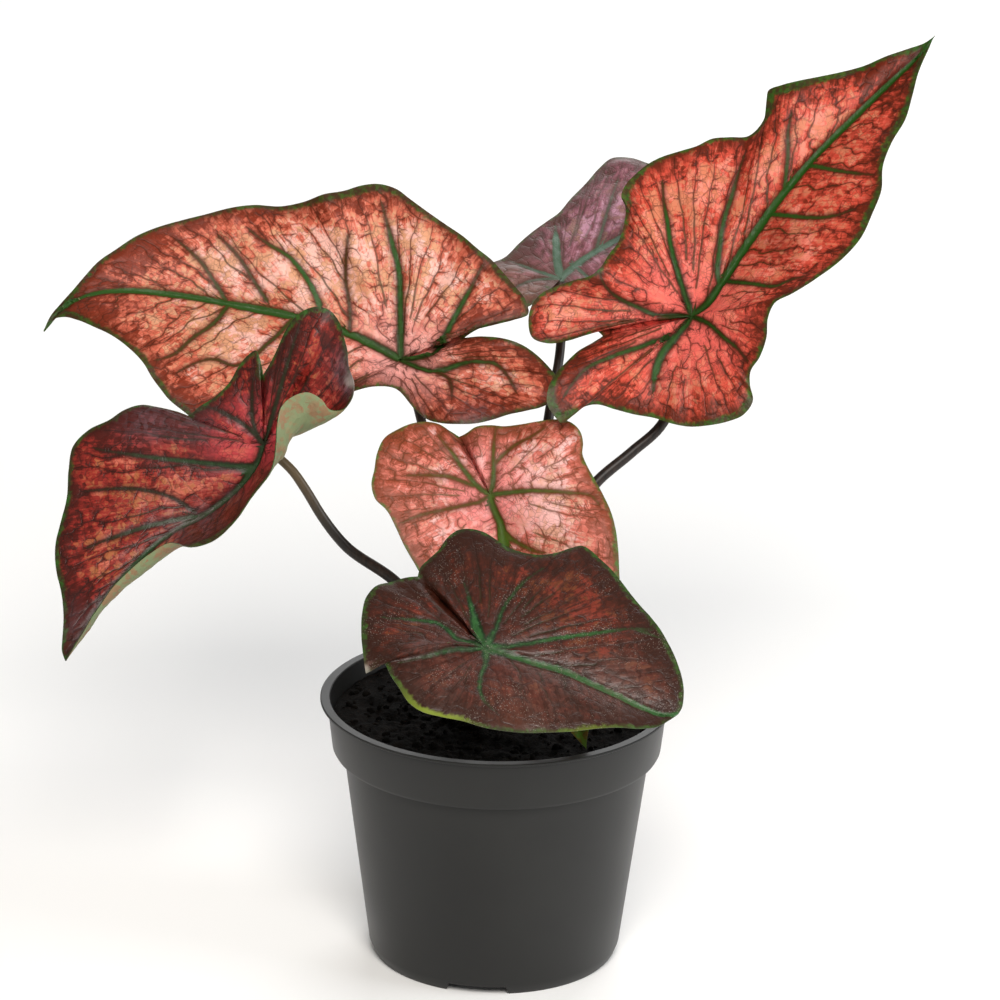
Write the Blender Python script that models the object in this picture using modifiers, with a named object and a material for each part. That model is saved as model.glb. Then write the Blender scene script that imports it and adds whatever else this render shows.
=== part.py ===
"""A potted caladium: six waved, arrow-shaped leaves on long stems, in a plain nursery pot of soil.

Run with: blender --background --python part.py

The frame is in metres with +Z up. The origin is the middle of the flat foot of the pot, the
plant faces -Y, and +X is to its right. The pot is the common 12 cm nursery size.

Each leaf is given by the points its outline needs, as an eye sees them that looks along +Y and
a little down: how far right of the pot's axis, how far up, and how far towards the eye, in
millimetres. Rows may also say how far the blade bows out half way in to the midrib.
"""

import math
from dataclasses import dataclass

import bmesh
import bpy
from mathutils import Matrix, Vector

MM = 0.001

# The eye that the leaf points are given for
VIEW_TILT = math.radians(20.7)
VIEW_DISTANCE = 2500.0
VIEW_HEIGHT = 163.2
VIEW_UP = Vector((0.0, math.sin(VIEW_TILT), math.cos(VIEW_TILT)))
VIEW_NEAR = Vector((0.0, -math.cos(VIEW_TILT), math.sin(VIEW_TILT)))

# Pot, in millimetres: a lip, a band that steps in, and a tapered body on a flat foot
POT_HEIGHT = 92.0
LIP_RADIUS = 60.0
BAND_TOP_RADIUS = 57.7
BAND_FOOT_RADIUS = 55.8
STEP_HEIGHT = 73.3
BODY_TOP_RADIUS = 51.8
BODY_FOOT_RADIUS = 42.8
FOOT_RADIUS = 40.6
WALL = 1.2
ROUND_STEPS = 44

# Three drain channels under the pot, each with a round hole in its roof
CHANNEL_ANGLES = (-97.6, 22.4, 142.4)
CHANNEL_START = 16.0
CHANNEL_WIDTH = 22.0
CHANNEL_HEIGHT = 3.1
DRAIN_RADIUS = 4.0
DRAIN_FROM_MIDDLE = 29.0

# Soil and the tuber in it
FIT_GAP = 0.3
SOIL_MIDDLE = 88.0
SOIL_EDGE = 85.4
TUBER_RADIUS = 20.0
TUBER_HALF_HEIGHT = 12.5
TUBER_MIDDLE = 56.0

# Leaves
BLADE_THICKNESS = 0.8
STEM_FOOT_RADIUS = 2.3
STEM_SIDES = 8
STEM_TOP_CLEARANCE = 3.2
STEM_HOLE_GAP = 0.4


def from_view(right, up, near):
    """The world point, in millimetres, of a point given as the eye sees it."""
    shrink = 1.0 - near / VIEW_DISTANCE
    seen = Vector((right * shrink, 0.0, 0.0)) + VIEW_UP * (up * shrink) + VIEW_NEAR * near
    return seen + Vector((0.0, 0.0, VIEW_HEIGHT))


@dataclass
class Leaf:
    """One leaf. side_a and side_b run from the tip to level with the stem's joint."""

    name: str
    colour: tuple
    junction: tuple
    midrib: list
    tip: tuple
    side_a: list
    lobes: list
    side_b: list
    stem: list
    stem_top_radius: float
    rings: int = 6
    bow: float = 2.0


def upper_left_leaf():
    """The big pale leaf that reaches left, its lower half folded towards the eye."""
    return Leaf(
        name="upper_left",
        colour=(0.62, 0.18, 0.14, 1.0),
        junction=(-34.0, 46.5, -30),
        midrib=[(-50, 54.5, -31), (-70, 60.5, -33), (-92, 64.5, -34), (-112, 67.5, -33),
                (-130, 68.5, -30), (-141, 66.5, -27), (-147, 63, -25)],
        tip=(-154, 54.5, -22),
        side_a=[(-151.5, 60, -23), (-148.5, 63.7, -26), (-144.5, 68.2, -29), (-140.5, 73, -31),
                (-136, 78, -33), (-130, 82.3, -35), (-123.5, 86.7, -37), (-116, 90, -39),
                (-108, 92.4, -40), (-100, 94.5, -40), (-92, 96.7, -39), (-84, 97.8, -42),
                (-75, 97.5, -44)],
        lobes=[(-67, 99.2, -42), (-60.5, 101.8, -39), (-54, 103, -40), (-47.5, 105, -41),
               (-42.5, 105.5, -42), (-36.5, 104, -41), (-31.5, 100.5, -39), (-25.6, 96.3, -37),
               (-20, 92.5, -38), (-13.5, 88.2, -37), (-8.7, 84.2, -34), (-4, 80.6, -34),
               (0, 76.3, -32), (4, 71.8, -30), (7.8, 66.8, -28), (8.6, 62.5, -27, 0, 2.2, 2.5),
               (4.3, 60.8, -26, 0, 1.8, 2), (-0.4, 59.6, -25, 0, 1.2, 1.5),
               (-6, 58.2, -25, 0, 0.5, 0), (-13, 54.2, -28, 0, 0, -3),
               (-6, 54.8, -22, 0, 0, 1), (0, 54.3, -20), (6, 52.5, -19), (11.8, 48.7, -20),
               (15.5, 45.1, -21), (18.5, 41, -23), (18.5, 35.5, -24), (14.7, 32, -22),
               (8.6, 30.2, -20), (2.6, 28.8, -18), (-2.8, 27, -16), (-8, 25.7, -15),
               (-14, 25.3, -15), (-20, 25.5, -17), (-25, 26.8, -19), (-29, 30.2, -19),
               (-35.5, 36.9, -20), (-42, 37.6, -17), (-49, 36, -14), (-56, 32.5, -11),
               (-65, 27.5, -8), (-75, 24, -6), (-86, 22.3, -5)],
        side_b=[(-151, 58.6, -22), (-147.5, 59.5, -22), (-142.5, 58.5, -20), (-137, 56.3, -18),
                (-131, 53.5, -15), (-125, 49.2, -12.5), (-120, 44, -10), (-117.3, 39.5, -9),
                (-114.5, 35.8, -7.5), (-111.5, 32.2, -6), (-107.5, 29, -5), (-103, 25.8, -4),
                (-97, 23.2, -4)],
        stem=[(-4.5, 6, 91), (-9, 14, 112), (-16, 25, 137), (-23, 35, 160), (-27.5, 42.5, 177),
              (-31, 46.5, 188)],
        stem_top_radius=1.5,
        bow=3.0,
    )


def upper_right_leaf():
    """The coral red leaf that stands up to the right, its right half folded forward."""
    return Leaf(
        name="upper_right",
        colour=(0.68, 0.09, 0.08, 1.0),
        junction=(63.5, 62.5, -20),
        midrib=[(67, 64.8, -22), (72.8, 72.8, -25), (82, 87.3, -28), (93.3, 103.6, -30),
                (105.9, 118.5, -32), (118.4, 131.5, -34), (130, 142.8, -36), (138.5, 151, -37)],
        tip=(143.8, 158, -38),
        side_a=[(140.3, 155.4, -38), (135, 153.4, -38), (128, 150.9, -38), (120, 147.3, -39),
                (112.5, 145.2, -39), (105, 143.5, -38), (98, 142, -37), (92.5, 140.5, -38),
                (88.2, 138.6, -40), (88, 133, -38), (85.8, 127.2, -38), (81.5, 123.2, -40)],
        lobes=[(75.5, 122.8, -40), (69.5, 122.2, -38), (64.2, 119.6, -36), (58.5, 117.8, -37),
               (53, 116, -36), (49, 114, -33), (44.2, 110.2, -30), (40.5, 106, -27),
               (39.3, 102.6, -25), (40.7, 99, -25), (40.3, 93, -24), (38.5, 87.2, -22),
               (35.3, 82.8, -19), (32.4, 78.3, -16), (29.5, 75.8, -16), (24, 74.2, -18),
               (18, 72, -20), (13, 69.5, -21), (9.8, 65.5, -21), (8.7, 60.2, -20),
               (10.2, 54.5, -18, 0, 1.2, 2.5), (15, 52.8, -17, 0, 2.2, 2),
               (21.5, 53.6, -17, 0, 2, 1.5), (27.6, 55.6, -17, 0, 1.2, 1),
               (31.5, 57.2, -18, 0, 0.5, 0), (33.8, 55.4, -19, 0, 0, -2),
               (30.5, 53.3, -14, 0, 0, 1), (25.5, 50.3, -11), (21.5, 46.4, -8), (18, 42.4, -5), (15.7, 37.8, -3),
               (15.3, 32.8, -2), (17.6, 28.8, -1), (20.2, 26.2, -1), (24, 28.6, -3),
               (28.1, 31.8, -6), (32.5, 32.5, -9), (38, 31, -11), (44.8, 29.3, -11),
               (51.5, 28.2, -10), (57, 26.5, -8), (63, 25.5, -7), (69.5, 26, -5),
               (76, 27.4, -4), (81.2, 29.7, -3), (84.4, 34.5, -3), (83.4, 39.5, -5),
               (83.3, 44, -5), (86.3, 49, -2), (88.6, 56, 1), (89, 62.5, 3), (91.5, 67.8, 5)],
        side_b=[(141.3, 152.8, -36), (138.5, 146, -32), (136.5, 138, -27), (134.3, 130, -23),
                (129.7, 121.8, -18), (126.8, 113.5, -13), (126.5, 106, -9), (123.5, 97.8, -5),
                (120, 90, -2), (113.5, 82.5, 1), (105, 76, 3), (97, 70.8, 5)],
        stem=[(7.5, 2, 91), (13, 10, 112), (21, 20, 134), (31.5, 29.5, 157.5),
              (44.5, 35, 168), (54, 38.5, 176), (60, 43, 188), (62.5, 46.5, 203)],
        stem_top_radius=1.6,
        bow=3.0,
    )


def left_leaf():
    """The dark crimson leaf at the left, its right half curled up and over."""
    return Leaf(
        name="left",
        colour=(0.28, 0.03, 0.05, 1.0),
        junction=(-79.5, 17.3, 10),
        midrib=[(-81.5, 11, 9), (-86, 4.5, 8), (-92.5, -1.5, 7), (-99, -6.4, 7),
                (-108.6, -11.6, 8), (-119.2, -20, 10), (-127.5, -29, 13), (-135, -39.5, 16),
                (-140.5, -48.5, 19)],
        tip=(-145.2, -56, 22),
        side_a=[(-146.3, -52.5, 20), (-146.2, -49, 18), (-146, -45.5, 16), (-145.9, -41.5, 14),
                (-146.2, -37, 11), (-147, -32, 8), (-148.3, -27, 6), (-149, -22, 4),
                (-148.9, -16.8, 2), (-147.4, -10, -1), (-145.3, -1, -3), (-144.9, 8, -5)],
        lobes=[(-143.5, 16, -6), (-138.5, 21.4, -5), (-131.5, 25, -3), (-126.2, 28.6, -1),
               (-120.8, 30.2, 0), (-115, 29.4, 1), (-108.5, 28, 2), (-105, 26.9, 4),
               (-101.5, 29.8, 6), (-96.5, 33, 7), (-91.5, 37.9, 8), (-88.3, 43.5, 8),
               (-85, 47.6, 9), (-82.6, 49, 10), (-81.3, 46.5, 11),
               (-80.4, 40.5, 12, 0, 0, -2), (-78.2, 44, 14), (-75.3, 49.9, 15),
               (-73, 55.2, 16), (-70.3, 59.6, 17), (-66.5, 62.8, 18), (-62.5, 64, 19),
               (-58, 62.8, 20), (-55, 59.3, 20.5, 1, 0, 0), (-53.4, 54.5, 21, 2, 0, 0),
               (-52, 49.5, 22, 3, -1, 0), (-51.4, 44, 23, 4, -1, 0), (-49.6, 38.6, 25, 4, -1, 1),
               (-50.2, 33.5, 27, 4, 0, 2), (-53.5, 29.6, 29, 4, 0, 3), (-57.5, 29.6, 31, 5, 0, 4),
               (-60.5, 33, 32.5, 6, -1, 5), (-65, 35.2, 33.5, 6, -2, 5),
               (-70, 33.8, 34.5, 5.5, -4, 4), (-73.8, 30.4, 35, 5, -6, 3),
               (-75.2, 25, 36, 4.5, -7, 2), (-75.6, 17.5, 36.5, 3, -5, 0),
               (-76.5, 10.5, 36.5, 1.5, -3, -1)],
        side_b=[(-142, -50.5, 23.5, 0, -0.5, 0), (-139.5, -46.5, 24.5, 0, -1, 0),
                (-137, -42, 25.5, 0, -1.5, 0), (-133.5, -36.8, 26.5, 0, -3, 1),
                (-129.5, -31, 27, 0, -4.3, 2), (-124, -25.3, 28, 0, -5.5, 2),
                (-117.5, -19.8, 29, -0.5, -6, 3), (-110.4, -15.8, 30.5, -1, -5, 3),
                (-103.5, -17.2, 31.5, 0, -2, 1), (-96.5, -15.2, 32.5, 0, -1, 0),
                (-90, -9.5, 33.5, 0, -1, -1), (-84, -1, 35, 0, -1, -2)],
        stem=[(-8, -1.7, 91), (-17, 0.5, 108), (-34.5, 3.5, 131.5), (-52, 0.5, 146),
              (-60, -1.5, 157.5), (-65, -1.8, 166.3), (-70, -1.3, 173.5),
              (-75, -0.3, 178)],
        stem_top_radius=1.5,
        rings=8,
        bow=3.5,
    )


def back_leaf():
    """The dusky leaf behind the others, which lies nearly level."""
    return Leaf(
        name="back",
        colour=(0.20, 0.07, 0.09, 1.0),
        junction=(19.3, 74.4, -55),
        midrib=[(24, 79, -60), (31, 84, -65), (41, 90, -71), (54, 96, -77), (68, 100.5, -81),
                (80, 103, -83.5), (89, 103.7, -84)],
        tip=(97, 103, -83),
        side_a=[(91.5, 105.5, -86), (84.5, 107.5, -89.5), (76, 109.3, -92.5), (67, 110.8, -95),
                (58, 112.2, -96.5), (49, 113.4, -97.5), (42.5, 115.3, -98.5), (36.2, 115.2, -97)],
        lobes=[(31.5, 111.5, -93), (27.5, 106.8, -88), (22.3, 101.3, -82), (18, 96.3, -76), (14.8, 94, -73),
               (9.5, 90, -69), (5, 86, -65), (0.4, 81.5, -60), (-5, 79, -57), (-10, 75, -53),
               (-11, 70, -48), (-7, 66, -44), (0, 64, -42), (7, 64.5, -43), (12.5, 67.5, -46),
               (16, 70.5, -51, 0, 0, -1), (18.5, 66, -46), (23, 62, -42), (29, 60.5, -41),
               (36, 61.5, -43)],
        side_b=[(91.5, 99.8, -80), (86, 96, -75.5), (80, 91.5, -71), (73, 86, -66.5),
                (65.5, 80.2, -61.5), (58, 74.7, -56.5), (50.5, 69.5, -51.5), (43, 65.5, -47)],
        stem=[(3, 8.3, 91), (9, 24, 118), (13, 40, 146), (16.3, 55, 173), (20, 67.5, 194.5),
              (20.3, 74, 205)],
        stem_top_radius=1.5,
        rings=5,
        bow=2.0,
    )


def middle_leaf():
    """The pale pink leaf in the middle, which hangs with its tip down to the soil."""
    return Leaf(
        name="middle",
        colour=(0.66, 0.25, 0.21, 1.0),
        junction=(-3.5, 1.7, -8),
        midrib=[(-2.5, -1.8, -8), (0.2, -8, -8), (1.5, -15, -7), (5, -27, -4), (10, -40, 0),
                (16, -54, 4), (22, -66, 8), (27, -75.5, 12)],
        tip=(30.2, -83.3, 14.5),
        side_a=[(27, -79.8, 14), (23.5, -76.3, 13.5), (15, -71, 13), (5, -64, 12),
                (-5, -55.5, 10.5), (-13.5, -46, 9), (-20, -36, 7.5), (-25, -27.5, 6),
                (-28.4, -21.7, 4.5)],
        lobes=[(-32, -15.7, 3), (-34.8, -9.8, 2), (-38, -4, 1), (-42, 0, 0), (-43.2, 4.5, -1),
               (-42.3, 9.7, -3), (-41.5, 15, -5), (-39, 20.3, -7), (-35, 23, -9),
               (-30, 25.2, -10), (-25.5, 25.9, -10), (-21, 25.2, -11), (-17.3, 23, -13),
               (-14, 21, -15, 0, 0, -3), (-11.5, 22.3, -13), (-8.5, 24.4, -12),
               (-3.5, 25.1, -13), (1, 24.8, -14), (6, 25.4, -14), (12, 26.5, -13),
               (18.5, 27.3, -12), (23.5, 26.3, -11), (26.6, 23.3, -9.5), (27.6, 19.5, -8.5),
               (27.4, 16.2, -8), (29, 12, -6), (31.9, 7, -4), (34.7, 2, -2),
               (37.3, -3.5, 0), (39, -9.5, 1.5)],
        side_b=[(30.3, -79.8, 14), (30.9, -76, 13.5), (33, -70, 12.5), (36, -62, 11),
                (38.5, -52.5, 9), (40.2, -43, 7.5), (40.9, -33.5, 5.5), (40.4, -24, 4),
                (39.9, -16, 2.5)],
        stem=[(0, 0.7, 91), (-1, 7, 112), (-2.6, 13.5, 136), (-3.6, 15.5, 150),
              (-3.8, 13.2, 158)],
        stem_top_radius=1.4,
        bow=2.5,
    )


def front_leaf():
    """The dark maroon leaf low at the front, which leans out over the pot's lip."""
    return Leaf(
        name="front",
        colour=(0.16, 0.03, 0.03, 1.0),
        junction=(-4.5, -49.5, 36),
        midrib=[(2, -51.5, 37), (12, -54.3, 38), (21.7, -56.8, 39), (31, -61, 41),
                (41, -65.3, 43), (50, -69.5, 44), (56, -71.3, 44)],
        tip=(60.8, -71.1, 43),
        side_a=[(62, -69, 42), (62.5, -66, 41), (62.5, -62.5, 39.5), (61.8, -58.5, 37.5),
                (60.5, -54.5, 35.5), (59, -50.8, 33), (57, -47, 30.5), (54.6, -43, 28)],
        lobes=[(51, -38.5, 25), (47.5, -34.8, 22.5), (44, -30.6, 20), (41, -26.7, 17.5),
               (37.5, -22.6, 15), (33.8, -19.3, 13), (30.4, -16.3, 11.5), (28, -15, 11),
               (24, -15.8, 11.5), (19, -17.5, 13), (14, -18.2, 14), (8.5, -17.6, 14),
               (3, -15.8, 13), (-1, -13.4, 11.5), (-5, -11, 10), (-9.3, -9.9, 9),
               (-14, -10.4, 9), (-17.5, -13, 10.5), (-20.5, -17.3, 13), (-24, -20.6, 15),
               (-26.3, -23, 17), (-27.2, -26, 20, 0, 0, -4), (-31, -26.5, 19),
               (-36, -28, 20), (-41, -29.3, 22), (-44.2, -32.8, 25), (-45.7, -38.5, 30),
               (-45.9, -46, 36, 0, 0.5, 2.5), (-45.2, -52.5, 41, 0, 2.2, 2.5),
               (-44.2, -58.8, 45.5, 0, 4.8, 2.5), (-41.3, -57.3, 44.5, 0, 3.4, 2.5),
               (-38.4, -55.4, 43, 0, 1, 2.5), (-36, -59.2, 46), (-33, -63.5, 49),
               (-29.5, -68.5, 52.5), (-25, -71.4, 55), (-19, -72.9, 56), (-11, -74.4, 57), (-4.5, -76.3, 58),
               (3, -77.5, 58)],
        side_b=[(57.9, -73, 45), (54, -75.3, 48), (48, -76, 51), (41, -75.7, 53),
                (34, -76.1, 55), (26, -77.2, 56), (18, -77.7, 57), (10, -78, 57)],
        stem=[(-2, -7.3, 91), (-8, -13, 101), (-13.5, -24, 111), (-13.5, -38, 118.5),
              (-9, -47, 123.5)],
        stem_top_radius=1.5,
        bow=2.5,
    )


def clear_scene():
    """Start from an empty scene."""
    for old in list(bpy.data.objects):
        bpy.data.objects.remove(old, do_unlink=True)


def new_collection(name):
    """Add a collection to the scene."""
    collection = bpy.data.collections.new(name)
    bpy.context.scene.collection.children.link(collection)
    return collection


def finish(name, colour, roughness):
    """A plain Principled material."""
    material = bpy.data.materials.new(name)
    material.use_nodes = True
    shader = material.node_tree.nodes["Principled BSDF"]
    shader.inputs["Base Color"].default_value = colour
    shader.inputs["Roughness"].default_value = roughness
    shader.inputs["Metallic"].default_value = 0.0
    return material


def adopt(obj, collection, name, material=None):
    """Name an object and move it to its own collection."""
    for holder in list(obj.users_collection):
        holder.objects.unlink(obj)
    collection.objects.link(obj)
    obj.name = name
    obj.data.name = name
    if material:
        obj.data.materials.clear()
        obj.data.materials.append(material)
    return obj


def as_cutter(obj):
    """Show an object as a wire guide that is not part of the model."""
    obj.hide_render = True
    obj.display_type = "WIRE"
    return obj


def cut(obj, cutter, operation="DIFFERENCE"):
    """Add a Boolean of one object by another."""
    boolean = obj.modifiers.new(operation.title() + " " + cutter.name, "BOOLEAN")
    boolean.operation = operation
    boolean.object = cutter
    return boolean


def turned(name, profile, collection, material=None):
    """Turn a profile, (radius, height) pairs in millimetres, about the Z axis."""
    mesh = bpy.data.meshes.new(name)
    points = [(radius * MM, 0.0, height * MM) for radius, height in profile]
    edges = [(i, i + 1) for i in range(len(points) - 1)]
    mesh.from_pydata(points, edges, [])
    obj = bpy.data.objects.new(name, mesh)
    collection.objects.link(obj)
    screw = obj.modifiers.new("Turn", "SCREW")
    screw.axis = "Z"
    screw.angle = math.radians(360)
    screw.steps = ROUND_STEPS
    screw.render_steps = ROUND_STEPS
    screw.use_merge_vertices = True
    screw.merge_threshold = 0.00001
    screw.use_smooth_shade = True
    if material:
        mesh.materials.append(material)
    return obj


def body_radius(height, inset=0.0):
    """The radius of the pot's tapered body at a height."""
    share = (height - 4.4) / (STEP_HEIGHT - 1.8 - 4.4)
    return BODY_FOOT_RADIUS + (BODY_TOP_RADIUS - BODY_FOOT_RADIUS) * share - inset


def pot_outside():
    """The pot's outer profile, from the middle of its mouth down to the middle of its foot."""
    return [
        (0.0, POT_HEIGHT),
        (LIP_RADIUS, POT_HEIGHT),
        (LIP_RADIUS, POT_HEIGHT - 1.0),
        (BAND_TOP_RADIUS, POT_HEIGHT - 1.2),
        (BAND_FOOT_RADIUS, STEP_HEIGHT + 1.6),
        (BAND_FOOT_RADIUS - 0.6, STEP_HEIGHT + 0.5),
        (BAND_FOOT_RADIUS - 1.8, STEP_HEIGHT),
        (BODY_TOP_RADIUS + 0.2, STEP_HEIGHT - 0.1),
        (BODY_TOP_RADIUS, STEP_HEIGHT - 1.8),
        (BODY_FOOT_RADIUS, 4.4),
        (BODY_FOOT_RADIUS - 1.2, 1.3),
        (FOOT_RADIUS, 0.0),
        (0.0, 0.0),
    ]


def pot_inside(gap, top):
    """The inner profile, moved in by a gap, from a height down to the middle of the floor."""
    step = STEP_HEIGHT + WALL + gap
    slope = (BAND_TOP_RADIUS - BAND_FOOT_RADIUS) / (POT_HEIGHT - 1.2 - STEP_HEIGHT - 1.6)
    top_radius = BAND_TOP_RADIUS - WALL - gap - slope * (POT_HEIGHT - 1.2 - top)
    return [
        (0.0, top),
        (top_radius, top),
        (BAND_FOOT_RADIUS - WALL - gap, step + 1.2),
        (BAND_FOOT_RADIUS - WALL - gap - 0.9, step + 0.1),
        (body_radius(STEP_HEIGHT, WALL + gap), step),
        (body_radius(4.6, WALL + gap), 4.6),
        (body_radius(2.1, WALL + gap + 0.8), 2.1 + gap),
        (FOOT_RADIUS - 0.4 - gap, WALL + gap),
        (0.0, WALL + gap),
    ]


def channel_block(name, angle, start, end, width, low, high, collection):
    """A wedge-sided bar that runs out from the pot's axis, narrower at its top."""
    bpy.ops.mesh.primitive_cube_add(size=1.0)
    block = adopt(bpy.context.object, collection, name)
    length = end - start
    for vertex in block.data.vertices:
        top = vertex.co.z > 0
        half = (width / 2 - (1.3 if top else 0.0)) * (1 if vertex.co.y > 0 else -1)
        along = start + length if vertex.co.x > 0 else start + (1.3 if top else 0.0)
        vertex.co = Vector((along, half, high if top else low)) * MM
    block.data.transform(Matrix.Rotation(math.radians(angle), 4, "Z"))
    return block


def rod(name, place, radius, low, high, sides, collection):
    """An upright round bar between two heights, in millimetres."""
    bpy.ops.mesh.primitive_cylinder_add(
        vertices=sides,
        radius=radius * MM,
        depth=(high - low) * MM,
        location=(place[0] * MM, place[1] * MM, (low + high) / 2 * MM),
    )
    bar = adopt(bpy.context.object, collection, name)
    bar.data.transform(bar.matrix_world)
    bar.matrix_world = Matrix.Identity(4)
    return as_cutter(bar)


def make_pot(parts, cutters):
    """The thin nursery pot with its three drain channels."""
    plastic = finish("pot_plastic", (0.045, 0.046, 0.05, 1.0), 0.42)
    pot = turned("pot", pot_outside(), parts, plastic)
    mouth = POT_HEIGHT + 2.0
    cavity = as_cutter(turned("pot_cavity", pot_inside(0.0, mouth), cutters))
    for number, angle in enumerate(CHANNEL_ANGLES):
        back = channel_block(
            f"channel_back_{number}", angle, CHANNEL_START - WALL, 60.0,
            CHANNEL_WIDTH + 2 * WALL, -1.0, CHANNEL_HEIGHT + WALL, cutters)
        cut(cavity, as_cutter(back))
    cut(pot, cavity)
    for number, angle in enumerate(CHANNEL_ANGLES):
        channel = channel_block(
            f"channel_{number}", angle, CHANNEL_START, 60.0, CHANNEL_WIDTH, -1.0,
            CHANNEL_HEIGHT, cutters)
        cut(pot, as_cutter(channel))
        turn = math.radians(angle)
        place = (DRAIN_FROM_MIDDLE * math.cos(turn), DRAIN_FROM_MIDDLE * math.sin(turn))
        cut(pot, rod(f"drain_{number}", place, DRAIN_RADIUS, 1.5, 8.0, 20, cutters))
    return pot


def tuber_top(x, y):
    """The height of the tuber's upper side over a point, in millimetres."""
    flat = min(1.0, (x * x + y * y) / TUBER_RADIUS ** 2)
    return TUBER_MIDDLE + TUBER_HALF_HEIGHT * math.sqrt(1.0 - flat)


def rounded_tuber(name, extra, collection, material=None):
    """A flattened round body, made larger all round by extra millimetres."""
    bpy.ops.mesh.primitive_uv_sphere_add(segments=20, ring_count=10, radius=1.0)
    tuber = adopt(bpy.context.object, collection, name, material)
    wide = (TUBER_RADIUS + extra) * MM
    high = (TUBER_HALF_HEIGHT + extra) * MM
    tuber.data.transform(Matrix.Diagonal((wide, wide, high, 1.0)))
    tuber.data.transform(Matrix.Translation((0.0, 0.0, TUBER_MIDDLE * MM)))
    tuber.data.shade_smooth()
    return tuber


def make_soil(parts, cutters, leaves):
    """The soil that fills the pot, with a hole for each stem and a hollow for the tuber."""
    peat = finish("potting_soil", (0.012, 0.010, 0.009, 1.0), 0.95)
    profile = pot_inside(FIT_GAP, SOIL_EDGE)
    profile[0:1] = [(0.0, SOIL_MIDDLE), (22.0, SOIL_MIDDLE - 0.2), (40.0, SOIL_MIDDLE - 1.1)]
    soil = turned("soil", profile, parts, peat)
    for number, angle in enumerate(CHANNEL_ANGLES):
        back = channel_block(
            f"soil_channel_{number}", angle, CHANNEL_START - WALL - FIT_GAP, 60.0,
            CHANNEL_WIDTH + 2 * WALL + 2 * FIT_GAP, -1.0, CHANNEL_HEIGHT + WALL + FIT_GAP,
            cutters)
        cut(soil, as_cutter(back))
    cut(soil, as_cutter(rounded_tuber("tuber_hollow", FIT_GAP, cutters)))
    for leaf in leaves:
        x, y, _ = leaf.stem[0]
        hole = rod(f"stem_hole_{leaf.name}", (x, y), STEM_FOOT_RADIUS + STEM_HOLE_GAP,
                   tuber_top(x, y) - 4.0, SOIL_MIDDLE + 4.0, 14, cutters)
        cut(soil, hole)
    return soil


def smooth_path(points, steps):
    """Points on a Catmull-Rom curve through the given points."""
    ends = [points[0] * 2 - points[1]] + points + [points[-1] * 2 - points[-2]]
    path = []
    for i in range(1, len(ends) - 2):
        before, start, end, after = ends[i - 1:i + 3]
        for step in range(steps):
            t = step / steps
            path.append(0.5 * (2 * start + (end - before) * t
                               + (2 * before - 5 * start + 4 * end - after) * t * t
                               + (3 * start - before - 3 * end + after) * t ** 3))
    path.append(points[-1].copy())
    return path


def make_stem(leaf, collection, material):
    """A tapered stem from the tuber, straight up its hole and on to the back of the blade."""
    x, y, top = leaf.stem[0]
    joint = from_view(*leaf.junction)
    last = Vector(leaf.stem[-1])
    end = joint + (last - joint).normalized() * STEM_TOP_CLEARANCE
    bends = smooth_path([Vector(place) for place in leaf.stem] + [end], 2)
    path = [Vector((x, y, tuber_top(x, y) + 0.9)), Vector((x, y, top - 3.0))] + bends
    lengths = [0.0]
    for start, stop in zip(path, path[1:]):
        lengths.append(lengths[-1] + (stop - start).length)
    curve = bpy.data.curves.new(f"stem_{leaf.name}", "CURVE")
    curve.dimensions = "3D"
    curve.bevel_depth = STEM_FOOT_RADIUS * MM
    curve.bevel_resolution = (STEM_SIDES - 4) // 2
    curve.use_fill_caps = True
    spline = curve.splines.new("POLY")
    spline.points.add(len(path) - 1)
    slimmer = 1.0 - leaf.stem_top_radius / STEM_FOOT_RADIUS
    for point, place, length in zip(spline.points, path, lengths):
        point.co = (*(place * MM), 1.0)
        point.radius = 1.0 - slimmer * length / lengths[-1]
    curve.materials.append(material)
    stem = bpy.data.objects.new(f"stem_{leaf.name}", curve)
    collection.objects.link(stem)
    return stem


def along(points, share):
    """The point at a share of the length of a line of points."""
    spans = [(b - a).length for a, b in zip(points, points[1:])]
    left = share * sum(spans)
    for start, stop, span in zip(points, points[1:], spans):
        if left <= span:
            return start.lerp(stop, left / span)
        left -= span
    return points[-1].copy()


def blade_ribs(leaf):
    """One rib for each outline point: where it leaves the midrib, its end, and its bow."""
    spine = [from_view(*leaf.junction)] + [from_view(*place) for place in leaf.midrib]
    count = len(leaf.side_a) + 1
    shares = [1.0 - (i + 1) / count for i in range(len(leaf.side_a))]
    rows = [(leaf.tip, 1.0)] + list(zip(leaf.side_a, shares))
    rows += [(row, 0.0) for row in leaf.lobes]
    rows += list(zip(leaf.side_b, shares))[::-1]
    ribs = []
    for row, share in rows:
        root = along(spine, share)
        end = from_view(*row[:3])
        bow = row[3:] if len(row) > 3 else (0.0, 0.0, leaf.bow * min(1.0, (end - root).length / 40))
        shift = Vector((bow[0], 0.0, 0.0)) + VIEW_UP * bow[1] + VIEW_NEAR * bow[2]
        ribs.append((root, end, shift))
    return ribs


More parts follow.
